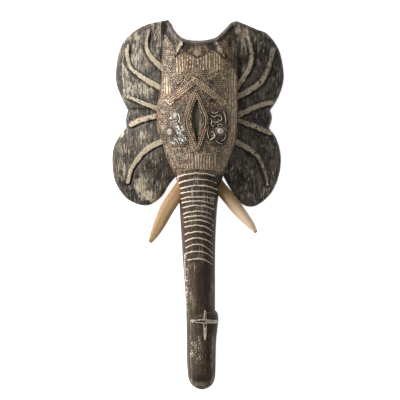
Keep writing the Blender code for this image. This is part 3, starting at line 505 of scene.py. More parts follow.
def band_height(points):
    """The lens band, the chevron and the leaves, carved in the wood and beaten into the sheet over it."""
    lens_gap = near(points, LENS_LOOP, 60, closed=True)[0]
    relief = np.where(inside(points, LENS_LOOP), 1.0, ramp(4 - lens_gap, 0, 4))
    for line in CHEVRON:
        gap = near(points, smooth_curve(line), 40)[0]
        relief = np.maximum(relief, 0.5 * ramp(CHEVRON_HALF_WIDTH + 5 - gap, 0, 6))
    relief = relief * BAND_HEIGHT
    for centre, sizes, turn in LEAVES:
        relief = relief - LEAF_DEPTH * ramp(1 - leaf(points, centre, sizes, turn), 0, 0.45)
    return relief


def leaf(points, centre, sizes, turn):
    """Distance from a leaf's middle, 1 on its edge."""
    c, s = np.cos(turn), np.sin(turn)
    away = points - np.array(centre)
    turned = np.column_stack([away[:, 0] * c + away[:, 1] * s, away[:, 1] * c - away[:, 0] * s])
    return np.linalg.norm(turned / (np.array(sizes) / 2), axis=1)


def spindle_depth(points):
    gap = near(points, SPINDLE_LOOP, 40, closed=True)[0]
    return np.where(inside(points, SPINDLE_LOOP), SPINDLE_DEPTH * ramp(gap, 0, 4), 0)


def rounding(edge_gap):
    """How much the outline's edge is rounded off at some distance from it."""
    inward = np.clip(edge_gap * PART, 0, EDGE_RADIUS)
    return EDGE_RADIUS - np.sqrt(EDGE_RADIUS**2 - (EDGE_RADIUS - inward) ** 2)


def carve(points):
    """Height of the carved wood's front, and the masks for its stain and cream."""
    x, y = points.T
    raised, cut, rib_cream, rib_shadow_and_dirt = rib_shape(points)
    ring, ring_cream = ring_shape(points)
    relief, cream, dark = crown_and_tip(points)
    notch_gap = near(points, NOTCH, 60)[0]
    edge_gap = near(points, OUTLINE[::3], 60, closed=True)[0]
    dome = dome_height(points) + ring + relief - spindle_depth(points)
    dome += np.where(inside(points, SHEET_LOOP), band_height(points), 0)
    ear = ear_height(points, raised, cut)
    beside_head = y > HEAD_FOOT
    of_head = on_dome(points)
    is_ear = ~of_head | (beside_head & (ear > dome))
    height = np.where(of_head, np.where(beside_head, np.maximum(dome, ear), dome), ear)
    scallops = 0.5 * ramp(np.sin(y * 2 * pi / 10), 0.3, 0.9) * ramp(5 - np.abs(x + 31), 0, 3)
    hatch = np.maximum(np.cos(2 * pi * (x + y * 0.9) / 7.0), np.cos(2 * pi * (x * 1.1 - y * 0.8) / 7.4))
    hatch = ramp(hatch, 0.55, 0.98) * (0.3 + 0.9 * mottle(points, 7, 66))
    cream = most(cream, np.where(is_ear, rib_cream, ring_cream), strokes(points, CREAM_MARKS, 1, 2.4),
                 scallops * ramp(-y, 150, 175) * ramp(y, -300, -280),
                 0.62 * hatch * patches(points, HATCHED_PATCHES))
    join = sum(ramp(7 - near(points, smooth_curve(edge), 9)[0], 0, 7) for edge in HEAD_EDGES)
    top_gap = near(points, SHEET_TOP, 12)[0]
    # Dark mask: painted shade beside the ribs and in their grooves, on the ears where they meet the head and
    # on the wood along the sheet's top edge, with the dark patches and lines
    dark = most(dark, is_ear * rib_shadow_and_dirt, 0.25 * is_ear * cut, 0.5 * (is_ear & beside_head) * join,
                0.8 * ramp(4.5 - top_gap, 0, 3) * ~is_ear, patches(points, DARK_PATCHES),
                strokes(points, DARK_LINES, 2, 4))
    rim_reach = 13 + 8 * ramp(np.abs(x), 30, 70) + 5 * mottle(points, 12, 75)
    masks = {
        "cream": cream,
        # The dark mask, painted shade and dirt together, is kept under the name 'cut'
        "cut": np.clip(dark, 0, 1),
        "brushed": np.maximum(patches(points, BRUSHED_PATCHES), 0.25 * ramp(6 - edge_gap, 0, 5)),
        "ear": is_ear.astype(float),
        "tan": patches(points, TAN_PATCHES),
        "green": patches(points, GREEN_PATCHES),
        "rim": ramp(rim_reach - notch_gap, 0, 7) * ~is_ear,
        # The hollow's olive, with a higher value on its right wall, where the lamp falls, for painted shade
        # there
        "hollow_with_painted_shade": inside(points, SPINDLE_LOOP) * (0.6 + 0.4 * ramp(x, -12, 0)),
        "flank": (of_head & ~is_ear & (y > 78)) * ramp(notch_gap, 12, 18),
    }
    return height - rounding(edge_gap), masks


def hollow_loop():
    """Edge of the hollow behind the head."""
    y = np.linspace(398, 128, 14)
    share = np.abs(np.linspace(-1, 1, len(y)))
    squeeze = np.sqrt(np.clip(1 - share**4, 0, 1))
    left, right = at_height(LEFT_EDGE, y) + SIDE_WALL / PART, at_height(RIGHT_EDGE, y) - SIDE_WALL / PART
    middle, half = (left + right) / 2, (right - left) / 2 * (0.3 + 0.7 * squeeze)
    loop = np.vstack([np.column_stack([middle + half, y]), np.column_stack([middle - half, y])[::-1]])
    return spaced(smooth_curve(loop, closed=True), 4.0, closed=True)


HOLLOW = hollow_loop()
HOLLOW_MIDDLE = HOLLOW.mean(axis=0)
HOLLOW_RINGS = [HOLLOW_MIDDLE + (HOLLOW - HOLLOW_MIDDLE) * share for share in (1.0, 0.95, 0.86, 0.74)]


def carve_back(points):
    share = np.clip(near(points, HOLLOW, 80, closed=True)[0] * PART / HOLLOW_EDGE, 0, 1)
    roof = (dome_height(points) - BACK_WALL) * np.sqrt(1 - (1 - share) ** 2)
    chisel = 0.0012 * (mottle(points, 14, 31, (1.0, 2.5)) - 0.5) * share
    return np.where(inside(points, HOLLOW), np.maximum(roof + chisel, 0), 0)


def staggered(loop, pitch, margin):
    """Points in staggered rows inside a loop, clear of its edge."""
    low, high = loop.min(axis=0), loop.max(axis=0)
    start, end = loop, np.roll(loop, -1, axis=0)
    rows = []
    for number, y in enumerate(np.arange(low[1], high[1], pitch * 0.866)):
        cut = (start[:, 1] > y) != (end[:, 1] > y)
        share = (y - start[cut, 1]) / (end[cut, 1] - start[cut, 1])
        crossings = np.sort(start[cut, 0] + share * (end[cut, 0] - start[cut, 0]))
        x = np.arange(low[0] + pitch / 2 * (number % 2), high[0], pitch)
        x = x[np.searchsorted(crossings, x) % 2 == 1]
        rows.append(np.column_stack([x, np.full(len(x), y)]))
    grid = np.vstack(rows)
    return grid[near(grid, loop, 2 * margin, closed=True)[0] > margin]


def fill(rims, loose):
    """Triangles between the rims' outer edge and holes; returns points, faces and each rim's numbers."""
    points = [Vector(p) for rim in rims for p in rim] + [Vector(p) for p in loose]
    edges, first = [], 0
    for rim in rims:
        edges += [(first + i, first + (i + 1) % len(rim)) for i in range(len(rim))]
        first += len(rim)
    spots, _, faces, sources, _, _ = delaunay_2d_cdt(points, edges, [], 1, 0.01)
    spots = np.array([tuple(p) for p in spots])
    faces = np.array([list(face) for face in faces])
    middles = spots[faces].mean(axis=1)
    for hole in rims[1:]:
        faces = faces[~inside(middles, hole)]
        middles = spots[faces].mean(axis=1)
    number = {source: new for new, found in enumerate(sources) for source in found}
    starts = np.cumsum([0] + [len(rim) for rim in rims])
    return spots, faces, [[number[s + i] for i in range(len(rim))] for s, rim in zip(starts, rims)]


def relief_piece(name, rims, pitch, front, back, back_pitch, back_lines=()):
    """A closed piece between a finely worked front and a plainer back that share their edges."""
    front_dots = staggered(rims[0], pitch, 0.75 * pitch)
    back_dots = staggered(rims[0], back_pitch, 0.8 * back_pitch)
    for hole in rims[1:]:
        front_dots = front_dots[~inside(front_dots, hole)]
        back_dots = back_dots[~inside(back_dots, hole)]
        front_dots = front_dots[near(front_dots, hole, 4 * pitch, closed=True)[0] > 0.75 * pitch]
        back_dots = back_dots[near(back_dots, hole, 4 * back_pitch, closed=True)[0] > 0.8 * back_pitch]
    for line in back_lines:
        back_dots = back_dots[near(back_dots, line, back_pitch, closed=True)[0] > 0.4 * back_pitch]
    upper, upper_faces, upper_rims = fill(rims, front_dots)
    lower, lower_faces, lower_rims = fill(rims, np.vstack([back_dots, *back_lines]))
    heights, masks = front(upper)
    verts = np.vstack([np.column_stack([(upper - MIDDLE) * PART, heights]),
                       np.column_stack([(lower - MIDDLE) * PART, back(lower)])])
    walls = []
    for top, bottom in zip(upper_rims, lower_rims):
        bottom = [number + len(upper) for number in bottom]
        for a, b, c, d in zip(top, np.roll(top, -1), bottom, np.roll(bottom, -1)):
            walls += [(a, c, d), (a, d, b)]
    faces = np.vstack([upper_faces, lower_faces[:, ::-1] + len(upper), walls])
    mesh = bpy.data.meshes.new(name)
    mesh.from_pydata(verts.tolist(), [], faces.tolist())
    made = bpy.data.objects.new(name, mesh)
    keep_masks(made, {key: np.append(values, np.zeros(len(lower))) for key, values in masks.items()})
    bpy.context.scene.collection.objects.link(made)
    bpy.ops.object.select_all(action="DESELECT")
    made.select_set(True)
    bpy.context.view_layer.objects.active = made
    bpy.ops.object.mode_set(mode="EDIT")
    turn_outward()
    bpy.ops.object.shade_smooth_by_angle(angle=radians(50))
    return made


def turn_outward():
    """Turn the faces of the piece being edited outward, and leave it."""
    bpy.ops.mesh.select_all(action="SELECT")
    bpy.ops.mesh.normals_make_consistent(inside=False)
    bpy.ops.object.mode_set(mode="OBJECT")


def keep_masks(piece, masks):
    for name, values in masks.items():
        made = piece.data.attributes.new(name, "FLOAT", "POINT")
        made.data.foreach_set("value", values.astype(np.float32))


body = relief_piece("carved_body_dressed", [OUTLINE], FRONT_PITCH, carve, carve_back, BACK_PITCH,
                    HOLLOW_RINGS)


class Wire:
    """The end of a node's output, which can be reckoned with like a number."""

    def __init__(self, finish, socket):
        self.finish = finish
        self.socket = socket

    def reckon(self, operation, first, second):
        return self.finish.node("ShaderNodeMath", {"operation": operation}, {0: first, 1: second})

    def __add__(self, other):
        return self.reckon("ADD", self, other)

    def __sub__(self, other):
        return self.reckon("SUBTRACT", self, other)

    def __rsub__(self, other):
        return self.reckon("SUBTRACT", other, self)

    def __mul__(self, other):
        return self.reckon("MULTIPLY", self, other)

    __radd__ = __add__
    __rmul__ = __mul__


class Finish:
    """A stained, painted or beaten surface, built up from nodes."""

    def __init__(self, name):
        self.material = bpy.data.materials.new(name)
        self.material.use_nodes = True
        self.tree = self.material.node_tree
        self.shader = self.tree.nodes["Principled BSDF"]
        self.place = self.node("ShaderNodeTexCoord", out="Object")

    def node(self, kind, settings=(), values=(), out=0):
        made = self.tree.nodes.new(kind)
        for name, value in dict(settings).items():
            setattr(made, name, value)
        for name, value in dict(values).items():
            self.join(value, made.inputs[name])
        return Wire(self, made.outputs[out])

    def join(self, value, socket):
        if isinstance(value, Wire):
            self.tree.links.new(value.socket, socket)
        else:
            socket.default_value = value

    def mark(self, name):
        """A mask kept on the mesh."""
        return self.node("ShaderNodeAttribute", {"attribute_name": name}, out="Fac")

    def speckle(self, stretch, detail=3.0, roughness=0.6):
        """Noise with so many blotches a metre along each axis."""
        spot = self.node("ShaderNodeVectorMath", {"operation": "MULTIPLY"}, {0: self.place, 1: stretch})
        values = {"Vector": spot, "Scale": 1.0, "Detail": detail, "Roughness": roughness}
        return self.node("ShaderNodeTexNoise", {}, values)

    def step(self, value, low, high):
        """0 below low, 1 above high, smooth between."""
        values = {"Value": value, "From Min": low, "From Max": high}
        return self.node("ShaderNodeMapRange", {"interpolation_type": "SMOOTHSTEP"}, values)

    def blend(self, share, first, second):
        """One colour over another."""
        values = {0: share, 6: first, 7: second}
        return self.node("ShaderNodeMix", {"data_type": "RGBA"}, values, out=2)

    def coats(self, ground, rows):
        """Coats over a ground: each one's noise, where it starts and is full, its strength and colour."""
        for noise, low, high, strength, colour in rows:
            ground = self.blend(self.step(noise, low, high) * strength, ground, colour)
        return ground

    def finish(self, piece, colour, roughness, bump, depth, metallic=0.0, specular=0.5):
        bumped = self.node("ShaderNodeBump", {}, {"Height": bump, "Strength": 1.0, "Distance": depth})
        self.join(colour, self.shader.inputs["Base Color"])
        self.join(roughness, self.shader.inputs["Roughness"])
        self.join(metallic, self.shader.inputs["Metallic"])
        self.join(bumped, self.shader.inputs["Normal"])
        self.shader.inputs["Specular IOR Level"].default_value = specular
        piece.data.materials.clear()
        piece.data.materials.append(self.material)


def paint(red, green, blue):
    """A colour as a paint card gives it, made linear."""
    parts = np.array([red, green, blue]) / 255
    linear = np.where(parts < 0.04045, parts / 12.92, ((parts + 0.055) / 1.055) ** 2.4)
    return (*linear.tolist(), 1)


stain = Finish("stained_wood_brushed")
streaks = stain.speckle((440.0, 30.0, 50.0), 2.5, 0.60)
fine_streaks = stain.speckle((1300.0, 150.0, 260.0), 3.0, 0.62)
blotches = stain.speckle((58.0, 42.0, 45.0), 5.0, 0.62)
clots = stain.speckle((210.0, 130.0, 120.0), 3.0, 0.6)
specks = stain.speckle((560.0, 560.0, 320.0), 3.0, 0.6)
nicks = stain.speckle((440.0, 90.0, 160.0), 1.0, 0.5)
grain = streaks * 0.55 + fine_streaks * 0.45
cream_mark, shade_and_dirt_mark, hollow_shade_mark = stain.mark("cream"), stain.mark("cut"), stain.mark("hollow_with_painted_shade")
brushed_mark, ear_mark = stain.mark("brushed"), stain.mark("ear")
tan_mark, green_mark = stain.mark("tan"), stain.mark("green")
trunk_ground = stain.coats(paint(42, 30, 18), [
    (clots, 0.36, 0.66, 1.0, paint(70, 54, 36)),
    (grain, 0.44, 0.60, 0.5, paint(96, 80, 60)),
    (blotches, 0.50, 0.60, 0.45, paint(66, 42, 32)),
])
ear_ground = stain.coats(paint(46, 38, 31), [
    (blotches, 0.40, 0.60, 1.0, paint(94, 86, 76)),
    (clots, 0.48, 0.62, 0.5, paint(106, 99, 90)),
    (specks * 0.5 + grain * 0.5, 0.50, 0.42, 0.6, paint(28, 22, 17)),
    (grain * 0.7 + blotches * 0.3, 0.54, 0.60, 0.5, paint(146, 132, 108)),
])
ground = stain.blend(ear_mark, trunk_ground, ear_ground)
flank = stain.coats(paint(50, 41, 32), [
    (specks * 0.3 + grain * 0.4 + clots * 0.3, 0.44, 0.56, 1.0, paint(146, 124, 98)),
])
ground = stain.blend(stain.mark("flank") * 0.85, ground, flank)
tan_noise = (clots * 0.35 + grain * 0.40 + specks * 0.25 - 0.5) * 3.4
green_noise = (specks * 0.7 + grain * 0.3 - 0.5) * 2.4
ground = stain.coats(ground, [
    (tan_mark + tan_noise, 0.25, 0.85, stain.step(tan_mark, 0.0, 0.25) * 0.8, paint(158, 142, 120)),
    (green_mark + green_noise, 0.45, 0.85, stain.step(green_mark, 0.0, 0.2) * 0.7, paint(130, 124, 98)),
])
brush_noise = grain * 0.75 + specks * 0.25 + (blotches - 0.5) * 0.25
brush_tone = stain.coats(paint(160, 142, 108), [(blotches, 0.40, 0.60, 1.0, paint(200, 188, 164))])
rim_tone = stain.coats(paint(84, 75, 68), [
    (clots * 0.6 + blotches * 0.4, 0.40, 0.62, 1.0, paint(130, 120, 111)),
])
pit_tone = stain.coats(paint(68, 66, 50), [(grain, 0.42, 0.60, 1.0, paint(134, 128, 102))])
surface = stain.coats(ground, [
    (brush_noise + brushed_mark * 0.14, 0.56, 0.67, stain.step(brushed_mark, 0.0, 0.6) * 0.78, brush_tone),
    (nicks + brushed_mark * 0.07, 0.625, 0.68, (brushed_mark * 0.5 + 0.30) * ear_mark, paint(204, 194, 172)),
    (nicks - brushed_mark * 0.02, 0.39, 0.33, ear_mark * 0.65, paint(26, 20, 16)),
])
surface = stain.blend(stain.mark("rim") * 0.9, surface, rim_tone)
shade_and_dirt_noise = (specks * 0.5 + clots * 0.5 - 0.5) * 1.1
cream_noise = (specks * 0.50 + fine_streaks * 0.25 + clots * 0.25 - 0.5) * 2.2
ear_cream = stain.coats(paint(128, 106, 80), [
    (specks, 0.34, 0.48, 1.0, paint(196, 182, 156)),
    (clots, 0.56, 0.42, 0.45, paint(160, 142, 112)),
])
ring_cream = stain.coats(paint(168, 150, 130), [(specks, 0.30, 0.44, 1.0, paint(220, 206, 188))])
surface = stain.coats(surface, [
    # Painted shade and dirt from the dark mask
    (shade_and_dirt_mark + shade_and_dirt_noise, 0.28, 0.72, stain.step(shade_and_dirt_mark, 0.0, 0.15) * 0.85, paint(33, 25, 19)),
    (hollow_shade_mark, 0.3, 0.5, 1.0, pit_tone),
    # Painted shade: the hollow's right wall turned deeper olive where the lamp lights it
    (hollow_shade_mark, 0.6, 1.0, 0.5, paint(44, 48, 34)),
])
cream_cover = stain.step(cream_mark + cream_noise, 0.30, 0.62) * stain.step(cream_mark, 0.02, 0.25)
surface = stain.blend(cream_cover * 0.96, surface, stain.blend(ear_mark, ring_cream, ear_cream))
grain_height = grain + clots * 0.5 + specks * 0.3 + cream_cover * 0.3
stain.finish(body, surface, blotches * 0.2 + 0.58 - ear_mark * 0.14, grain_height, 0.0012, specular=0.32)
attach(body, "root")
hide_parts("carved_body")

# The face sheet: one thin sheet of soft metal laid over the forehead, cheeks and muzzle and beaten down
# on the carving, then punched all over with dots and small rings and fluted over the trunk and under
# the crown. Brown patina fills the low places and has rubbed off the high ones.

SHEET_GAP = 0.0003
SHEET_THICKNESS = 0.0008
FLUTES = [((-34, 378), (28, 22), 7.2), ((30, 380), (34, 24), 7.2), ((8, 112), (40, 21), 7.6),
          ((-90, 318), (18, 24), 7.0), ((98, 224), (12, 32), 5.6), ((92, 310), (14, 60), 7.0)]
BEAD_PITCH = 5.6
BEAD_ROWS = [(-5.5, 2.1), (4.2, 1.7)]
STUD_PITCH = 6.2
STUD_SEED = 41
STUD_JITTER = 0.30
SHEET_RELIEF = 0.0009
SHEET_PITCH = 1.12
SHEET_BACK_PITCH = 7.0
# Tones of the patina, as patches. The pale patches down the sheet's left edge are painted light on the
# side that faces the lamp; the one on the muzzle is paler patina
SHEET_TONES = {
    "pale_and_lit": [
        (-88, 400, 26, 60, 1.0), (-90, 340, 22, 40, 0.8), (-92, 260, 18, 60, 0.7),
        (-92, 190, 24, 60, 0.95), (-78, 130, 18, 40, 0.9), (-70, 300, 20, 30, 0.4),
        (-6, 112, 56, 30, 1.0),
    ],
    "rust": [
        (-104, 230, 7, 26, 1.0), (-32, 238, 6, 22, 1.0), (102, 226, 12, 30, 0.9), (90, 190, 14, 20, 0.6),
        (-66, 296, 22, 16, 0.45), (-58, 268, 18, 12, 0.4), (40, 275, 14, 8, 0.9),
        (-40, 110, 40, 10, 0.5), (-4, 300, 30, 30, 0.35),
    ],
    "ochre": [
        (-22, 210, 8, 20, 0.9), (-12, 165, 12, 30, 0.6), (14, 215, 7, 40, 0.6), (0, 110, 40, 18, 0.5),
        (30, 150, 30, 24, 0.45),
    ],
    "shade": [
        (86, 362, 18, 30, 0.45), (70, 300, 16, 20, 0.4), (58, 310, 14, 14, 0.6),
        (-20, 300, 14, 10, 0.25), (38, 322, 16, 13, 0.8), (46, 274, 12, 9, 0.9), (60, 120, 26, 30, 0.12),
        (-50, 270, 20, 12, 0.2),
    ],
    "olive": [
        (58, 135, 26, 40, 0.8), (70, 330, 24, 40, 0.6), (-30, 170, 12, 8, 0.6), (20, 370, 40, 20, 0.4),
        (60, 250, 20, 20, 0.5), (-56, 120, 30, 20, 0.35), (-6, 345, 34, 14, 0.4),
        (-82, 232, 14, 18, 0.4), (-44, 262, 18, 10, 0.5),
    ],
}


def beads(along, across, radius, pitch=BEAD_PITCH):
    """Round studs in a row along a line."""
    place = (along + pitch / 2) % pitch - pitch / 2
    return np.sqrt(np.clip(1 - (place**2 + across**2) / radius**2, 0, 1))


def stud_field(points):
    """Studs and small rings set by eye in staggered rows."""
    pitch = STUD_PITCH
    height = np.zeros(len(points))
    row = np.floor(points[:, 1] / (pitch * 0.866))
    chance = np.random.default_rng(STUD_SEED).random((5, 128, 128))
    for down in (-1, 0, 1):
        line = row + down
        shift = (line % 2) * pitch / 2
        column = np.floor((points[:, 0] - shift) / pitch)
        for side in (-1, 0, 1, 2):
            slot = column + side
            i, j = line.astype(int) % 128, slot.astype(int) % 128
            x = slot * pitch + shift + (chance[0, i, j] - 0.5) * pitch * STUD_JITTER
            y = line * pitch * 0.866 + (chance[1, i, j] - 0.5) * pitch * STUD_JITTER
            away = np.hypot(points[:, 0] - x, points[:, 1] - y)
            size = pitch * (0.26 + 0.12 * chance[2, i, j])
            stud = np.sqrt(np.clip(1 - (away / size) ** 2, 0, 1)) * (0.65 + 0.35 * chance[3, i, j])
            ring = ramp(0.9 - np.abs(away - pitch * 0.42), 0, 0.9)
            height = np.maximum(height, np.where(chance[4, i, j] > 0.72, np.maximum(ring, 0.6 * stud), stud))
    return height


def beaten(points):
    """How far the beaten ornament stands up, between -1 in the lowest places and 1 on the studs."""
    height = stud_field(points) * (0.80 + 0.45 * mottle(points, 11, 44)) - 0.10
    height = height - 0.45 * ramp(mottle(points, 4.6, 46), 0.78, 0.92)
    lens_gap, lens_place = near(points, LENS_LOOP, 40, closed=True)
    signed = np.where(inside(points, LENS_LOOP), -lens_gap, lens_gap)
    rows = most(*[beads(lens_place, signed - offset, radius) for offset, radius in BEAD_ROWS],
                0.7 * ramp(1.1 - np.abs(signed + 0.6), 0, 0.9)) + 0.02
    height = between(height, rows, ramp(9 - np.abs(signed + 2), 0, 3))
    for line in CHEVRON:
        gap, place = near(points, smooth_curve(line), 30)
        rows = np.maximum(beads(place, gap - BEAD_PITCH, 2.6), beads(place + BEAD_PITCH / 2, gap, 2.4))
        rows = rows * (0.7 + 0.5 * mottle(points, 6, 48))
        height = between(height, rows, 0.85 * ramp(CHEVRON_HALF_WIDTH + 1 - gap, 0, 3))
    warp = 3.6 * (mottle(points, 12, 5, (1.0, 2.6)) - 0.5)
    ragged = 0.35 * (mottle(points, 8, 6) - 0.5)
    uneven = 0.15 + 0.95 * mottle(points, 3.8, 9, (1.0, 1.5))
    for middle, half, pitch in FLUTES:
        away = np.abs((points - np.array(middle)) / np.array(half))
        zone = ramp(1.05 + ragged - away.max(axis=1), 0, 0.15)
        wave = 0.5 + 0.5 * np.cos(2 * pi * (points[:, 0] + warp) / pitch)
        height = height * (1 - 0.75 * zone) + zone * (0.9 * uneven * wave + 0.06)
    for away in worn_leaves(points):
        height = height * ramp(away, 0.5, 1.2) - 0.4 * ramp(1 - away, 0, 0.5)
    border = near(points, SHEET_LOOP[::2], 30, closed=True)[0]
    foot = ramp(6.0 - border, 0, 1.5) * (points[:, 1] < 120)
    return height * (1 - 0.6 * foot) + 0.5 * foot * beads(points[:, 0], border - 3.2, 2.2, 5.4)


def worn_leaves(points):
    """Distance from each leaf's middle, made uneven by wear."""
    wear = 0.9 * (mottle(points, 6, 49) - 0.5)
    return [leaf(points, *row) + wear for row in LEAVES]


def sheet_masks(points, height):
    masks = {name: patches(points, spots) for name, spots in SHEET_TONES.items()}
    for strength, away in zip((1.0, 1.0, 0.25, 0.25), worn_leaves(points)):
        masks["shade"] = np.maximum(masks["shade"], strength * ramp(1.15 - away, 0, 0.5))
    edge = near(points, SHEET_LOOP[::2], 30, closed=True)[0]
    top_edge = ramp(6 - edge, 0, 5) * (points[:, 1] > 380)
    masks["shade"] = np.maximum(masks["shade"], 0.8 * top_edge)
    return {"beaten": np.clip(height * 0.5 + 0.5, 0, 1), "across": np.clip(crossways(points), 0, 1), **masks}


def sheet_under(points):
    """The wood's own height under the sheet, without the fine marks of the gouge."""
    edge_gap = near(points, OUTLINE[::3], 60, closed=True)[0]
    carved = dome_height(points) + band_height(points) + crown_and_tip(points)[0]
    return carved - rounding(edge_gap) + SHEET_GAP


def sheet_front(points):
    lift = np.clip(near(points, SHEET_LOOP[::2], 8, closed=True)[0] / 3, 0, 1)
    height = beaten(points)
    return sheet_under(points) + SHEET_THICKNESS + SHEET_RELIEF * height * lift, sheet_masks(points, height)


sheet = relief_piece("face_sheet_beaten", [SHEET_LOOP, SPINDLE_LOOP], SHEET_PITCH, sheet_front,
                     sheet_under, SHEET_BACK_PITCH)

patina = Finish("brown_patina")
mottles = patina.speckle((75.0, 60.0, 60.0), 5.0, 0.65)
tints = patina.speckle((48.0, 42.0, 42.0), 3.0, 0.6)
grit = patina.speckle((620.0, 620.0, 500.0), 3.0, 0.65)
high = patina.mark("beaten") + (grit - 0.5) * 0.5
pale_and_lit_mark, rust_mark = patina.mark("pale_and_lit"), patina.mark("rust")
ochre_mark, shade_mark = patina.mark("ochre"), patina.mark("shade")
# Painted light: the sheet is made paler towards its right side, which faces away from the lamp
shaded_side_painted_light = patina.step(patina.mark("across"), 0.15, 0.85)
brown = patina.coats(paint(106, 86, 65), [(mottles, 0.36, 0.66, 1.0, paint(152, 127, 100))])
for share, colour in ((rust_mark * 0.8, paint(138, 82, 58)), (ochre_mark * 0.5, paint(162, 130, 84)),
                      (patina.mark("olive") * 0.7, paint(112, 104, 76))):
    brown = patina.blend(share, brown, colour)
brown = patina.coats(brown, [
    (tints, 0.52, 0.70, 0.5, paint(150, 98, 72)),
    (tints, 0.48, 0.36, 0.55, paint(110, 106, 86)),
])
brown = patina.blend(shade_mark * 0.7, brown, paint(66, 55, 45))
# Paler patina, and painted light down the left edge
brown = patina.blend(pale_and_lit_mark * 0.35, brown, paint(160, 140, 118))
pitted = patina.coats(brown, [(high, 0.70, 0.48, 0.88, paint(42, 32, 25))])
bright = patina.blend(pale_and_lit_mark, paint(210, 185, 153), paint(212, 191, 166))
bright = patina.blend(shaded_side_painted_light, bright, paint(226, 206, 172))
rubbed = patina.step(high + (mottles - 0.5) * 0.35, 0.70, 0.90)
rubbed = rubbed * (1.0 - shade_mark * 0.55) * (1.0 - rust_mark * 0.4)
patina_colour = patina.blend(rubbed * 0.92, pitted, bright)
patina_colour = patina.blend(shaded_side_painted_light * 0.22, patina_colour, paint(206, 180, 142))
patina.finish(sheet, patina_colour, 0.62 - rubbed * 0.16, grit * 0.7 + mottles * 0.3, 0.0005, rubbed * 0.25)
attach(sheet, "root")
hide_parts("face_sheet")

# The eye plates: a small piece of brighter sheet round each eye, beaten down on the face sheet, embossed
# with curling leaves and dulled in the hollows. The round boss of the eye is beaten in the plate.

PLATE_THICKNESS = 0.0010
PLATE_PITCH = 0.95
PLATE_BACK_PITCH = 6.0
PLATES = [
    [(-46, 253), (-37, 222), (-34, 192), (-27, 168), (-40, 155), (-68, 153), (-90, 170), (-95, 195),
     (-84, 222), (-66, 243)],
    [(30, 250), (54, 254), (72, 246), (81, 216), (82, 186), (73, 159), (54, 153), (27, 162), (21, 189),
     (24, 224)],
]
EYES = [(-77, 193), (59, 195)]
RIDGES = [
    [([(-66, 178), (-58, 170), (-52, 160)], 0.7), ([(-62, 222), (-54, 208), (-47, 192), (-38, 176)], 1.0),
     ([(-54, 240), (-50, 228), (-52, 216)], 0.8), ([(-56, 188), (-46, 178), (-51, 168)], 0.9)],
    [([(36, 194), (43, 187), (42, 178), (31, 170)], 1.5), ([(27, 208), (24, 190), (28, 174)], 0.8),
     ([(40, 220), (48, 218), (55, 220)], 0.8), ([(67, 247), (72, 232), (73, 216)], 1.0),
     ([(34, 246), (44, 242), (54, 247)], 0.7), ([(34, 236), (42, 232), (50, 237), (58, 233)], 0.7),
     ([(30, 228), (36, 222), (34, 212), (42, 206)], 0.8), ([(73, 186), (70, 174), (61, 168)], 0.7),
     ([(56, 240), (62, 232), (60, 222), (52, 226)], 0.7), ([(50, 210), (58, 213), (66, 210)], 0.7),
     ([(46, 170), (54, 163), (64, 160)], 0.7)],
]
# Where the sheet has been rubbed bright, and the marks of dark left in it. The left plate, which faces the
# lamp, is given most of the rubbed foil, whose white flecks are partly painted glints
RUBBED = [
    [(-66, 236, 20, 14, 0.66), (-58, 214, 20, 16, 0.72), (-49, 196, 12, 16, 0.9),
     (-44, 176, 13, 12, 0.95), (-62, 167, 22, 11, 0.62)],
    [(38, 184, 7, 12, 0.6), (47, 221, 13, 7, 0.6), (62, 236, 10, 10, 0.45)],
]
DARKENED = [
    [(-44, 168, 10, 5, 0.8), (-50, 246, 8, 6, 0.5)],
    [(46, 234, 18, 14, 0.45), (64, 172, 15, 12, 0.9), (30, 194, 8, 22, 0.4), (46, 204, 12, 12, 0.4)],
]
EYE_RADII = (9.0, 12.2)
# Heights of the embossing, the step round the eye, its ring and its boss, and how deep all of it sits
PLATE_RELIEF, EYE_STEP, EYE_RING, EYE_BOSS, PLATE_SET = 0.0010, 0.0006, 0.0009, 0.0022, 0.0002


def embossed(points, side):
    """The ridges, dots and cracks of one eye plate, and the ball and ring of its eye."""
    ridges, trough = np.zeros((2, len(points)))
    for line, half in RIDGES[side]:
        gap, share = beside(points, line, 16)
        wide = half * (0.6 + 0.6 * np.sin(pi * np.clip(share, 0, 1)))
        ridges = np.maximum(ridges, ramp(wide + 1.0 - gap, 0, 1.4))
        trough = np.maximum(trough, ramp(wide + 4.2 - gap, 0, 2.0))
    shift = np.column_stack([4 * mottle(points, 8, 51), 4 * mottle(points, 8, 52)])
    veins = np.minimum(np.abs(mottle(points + shift, 6.0, 60 + side) - 0.5),
                       np.abs(mottle(points + shift, 4.2, 64 + side, (1.0, 1.4)) - 0.47))
    whole = ramp(veins, 0.01, 0.16) * (0.55 + 0.5 * mottle(points, 4.5, 67))
    rubbed = patches(points, RUBBED[side])
    ground = between((0.17, 0.14)[side] + 0.66 * stud_field(points), whole, rubbed)
    away = np.linalg.norm(points - EYES[side], axis=1)
    ball, outer = EYE_RADII
    dome = np.sqrt(np.clip(1 - (away / ball) ** 2, 0, 1))
    ring = ramp(1.9 - np.abs(away - outer), 0, 1.4) * (0.12 + 0.48 * side + 0.4 * mottle(points, 6, 68))
    ground = np.maximum(ground * 0.8 * (1 - 0.7 * ramp(trough, 0.1, 0.6)), ridges)
    return ground * (0.25 + 0.75 * ramp(away, outer + 0.2, outer + 1.8)), ring, dome, rubbed


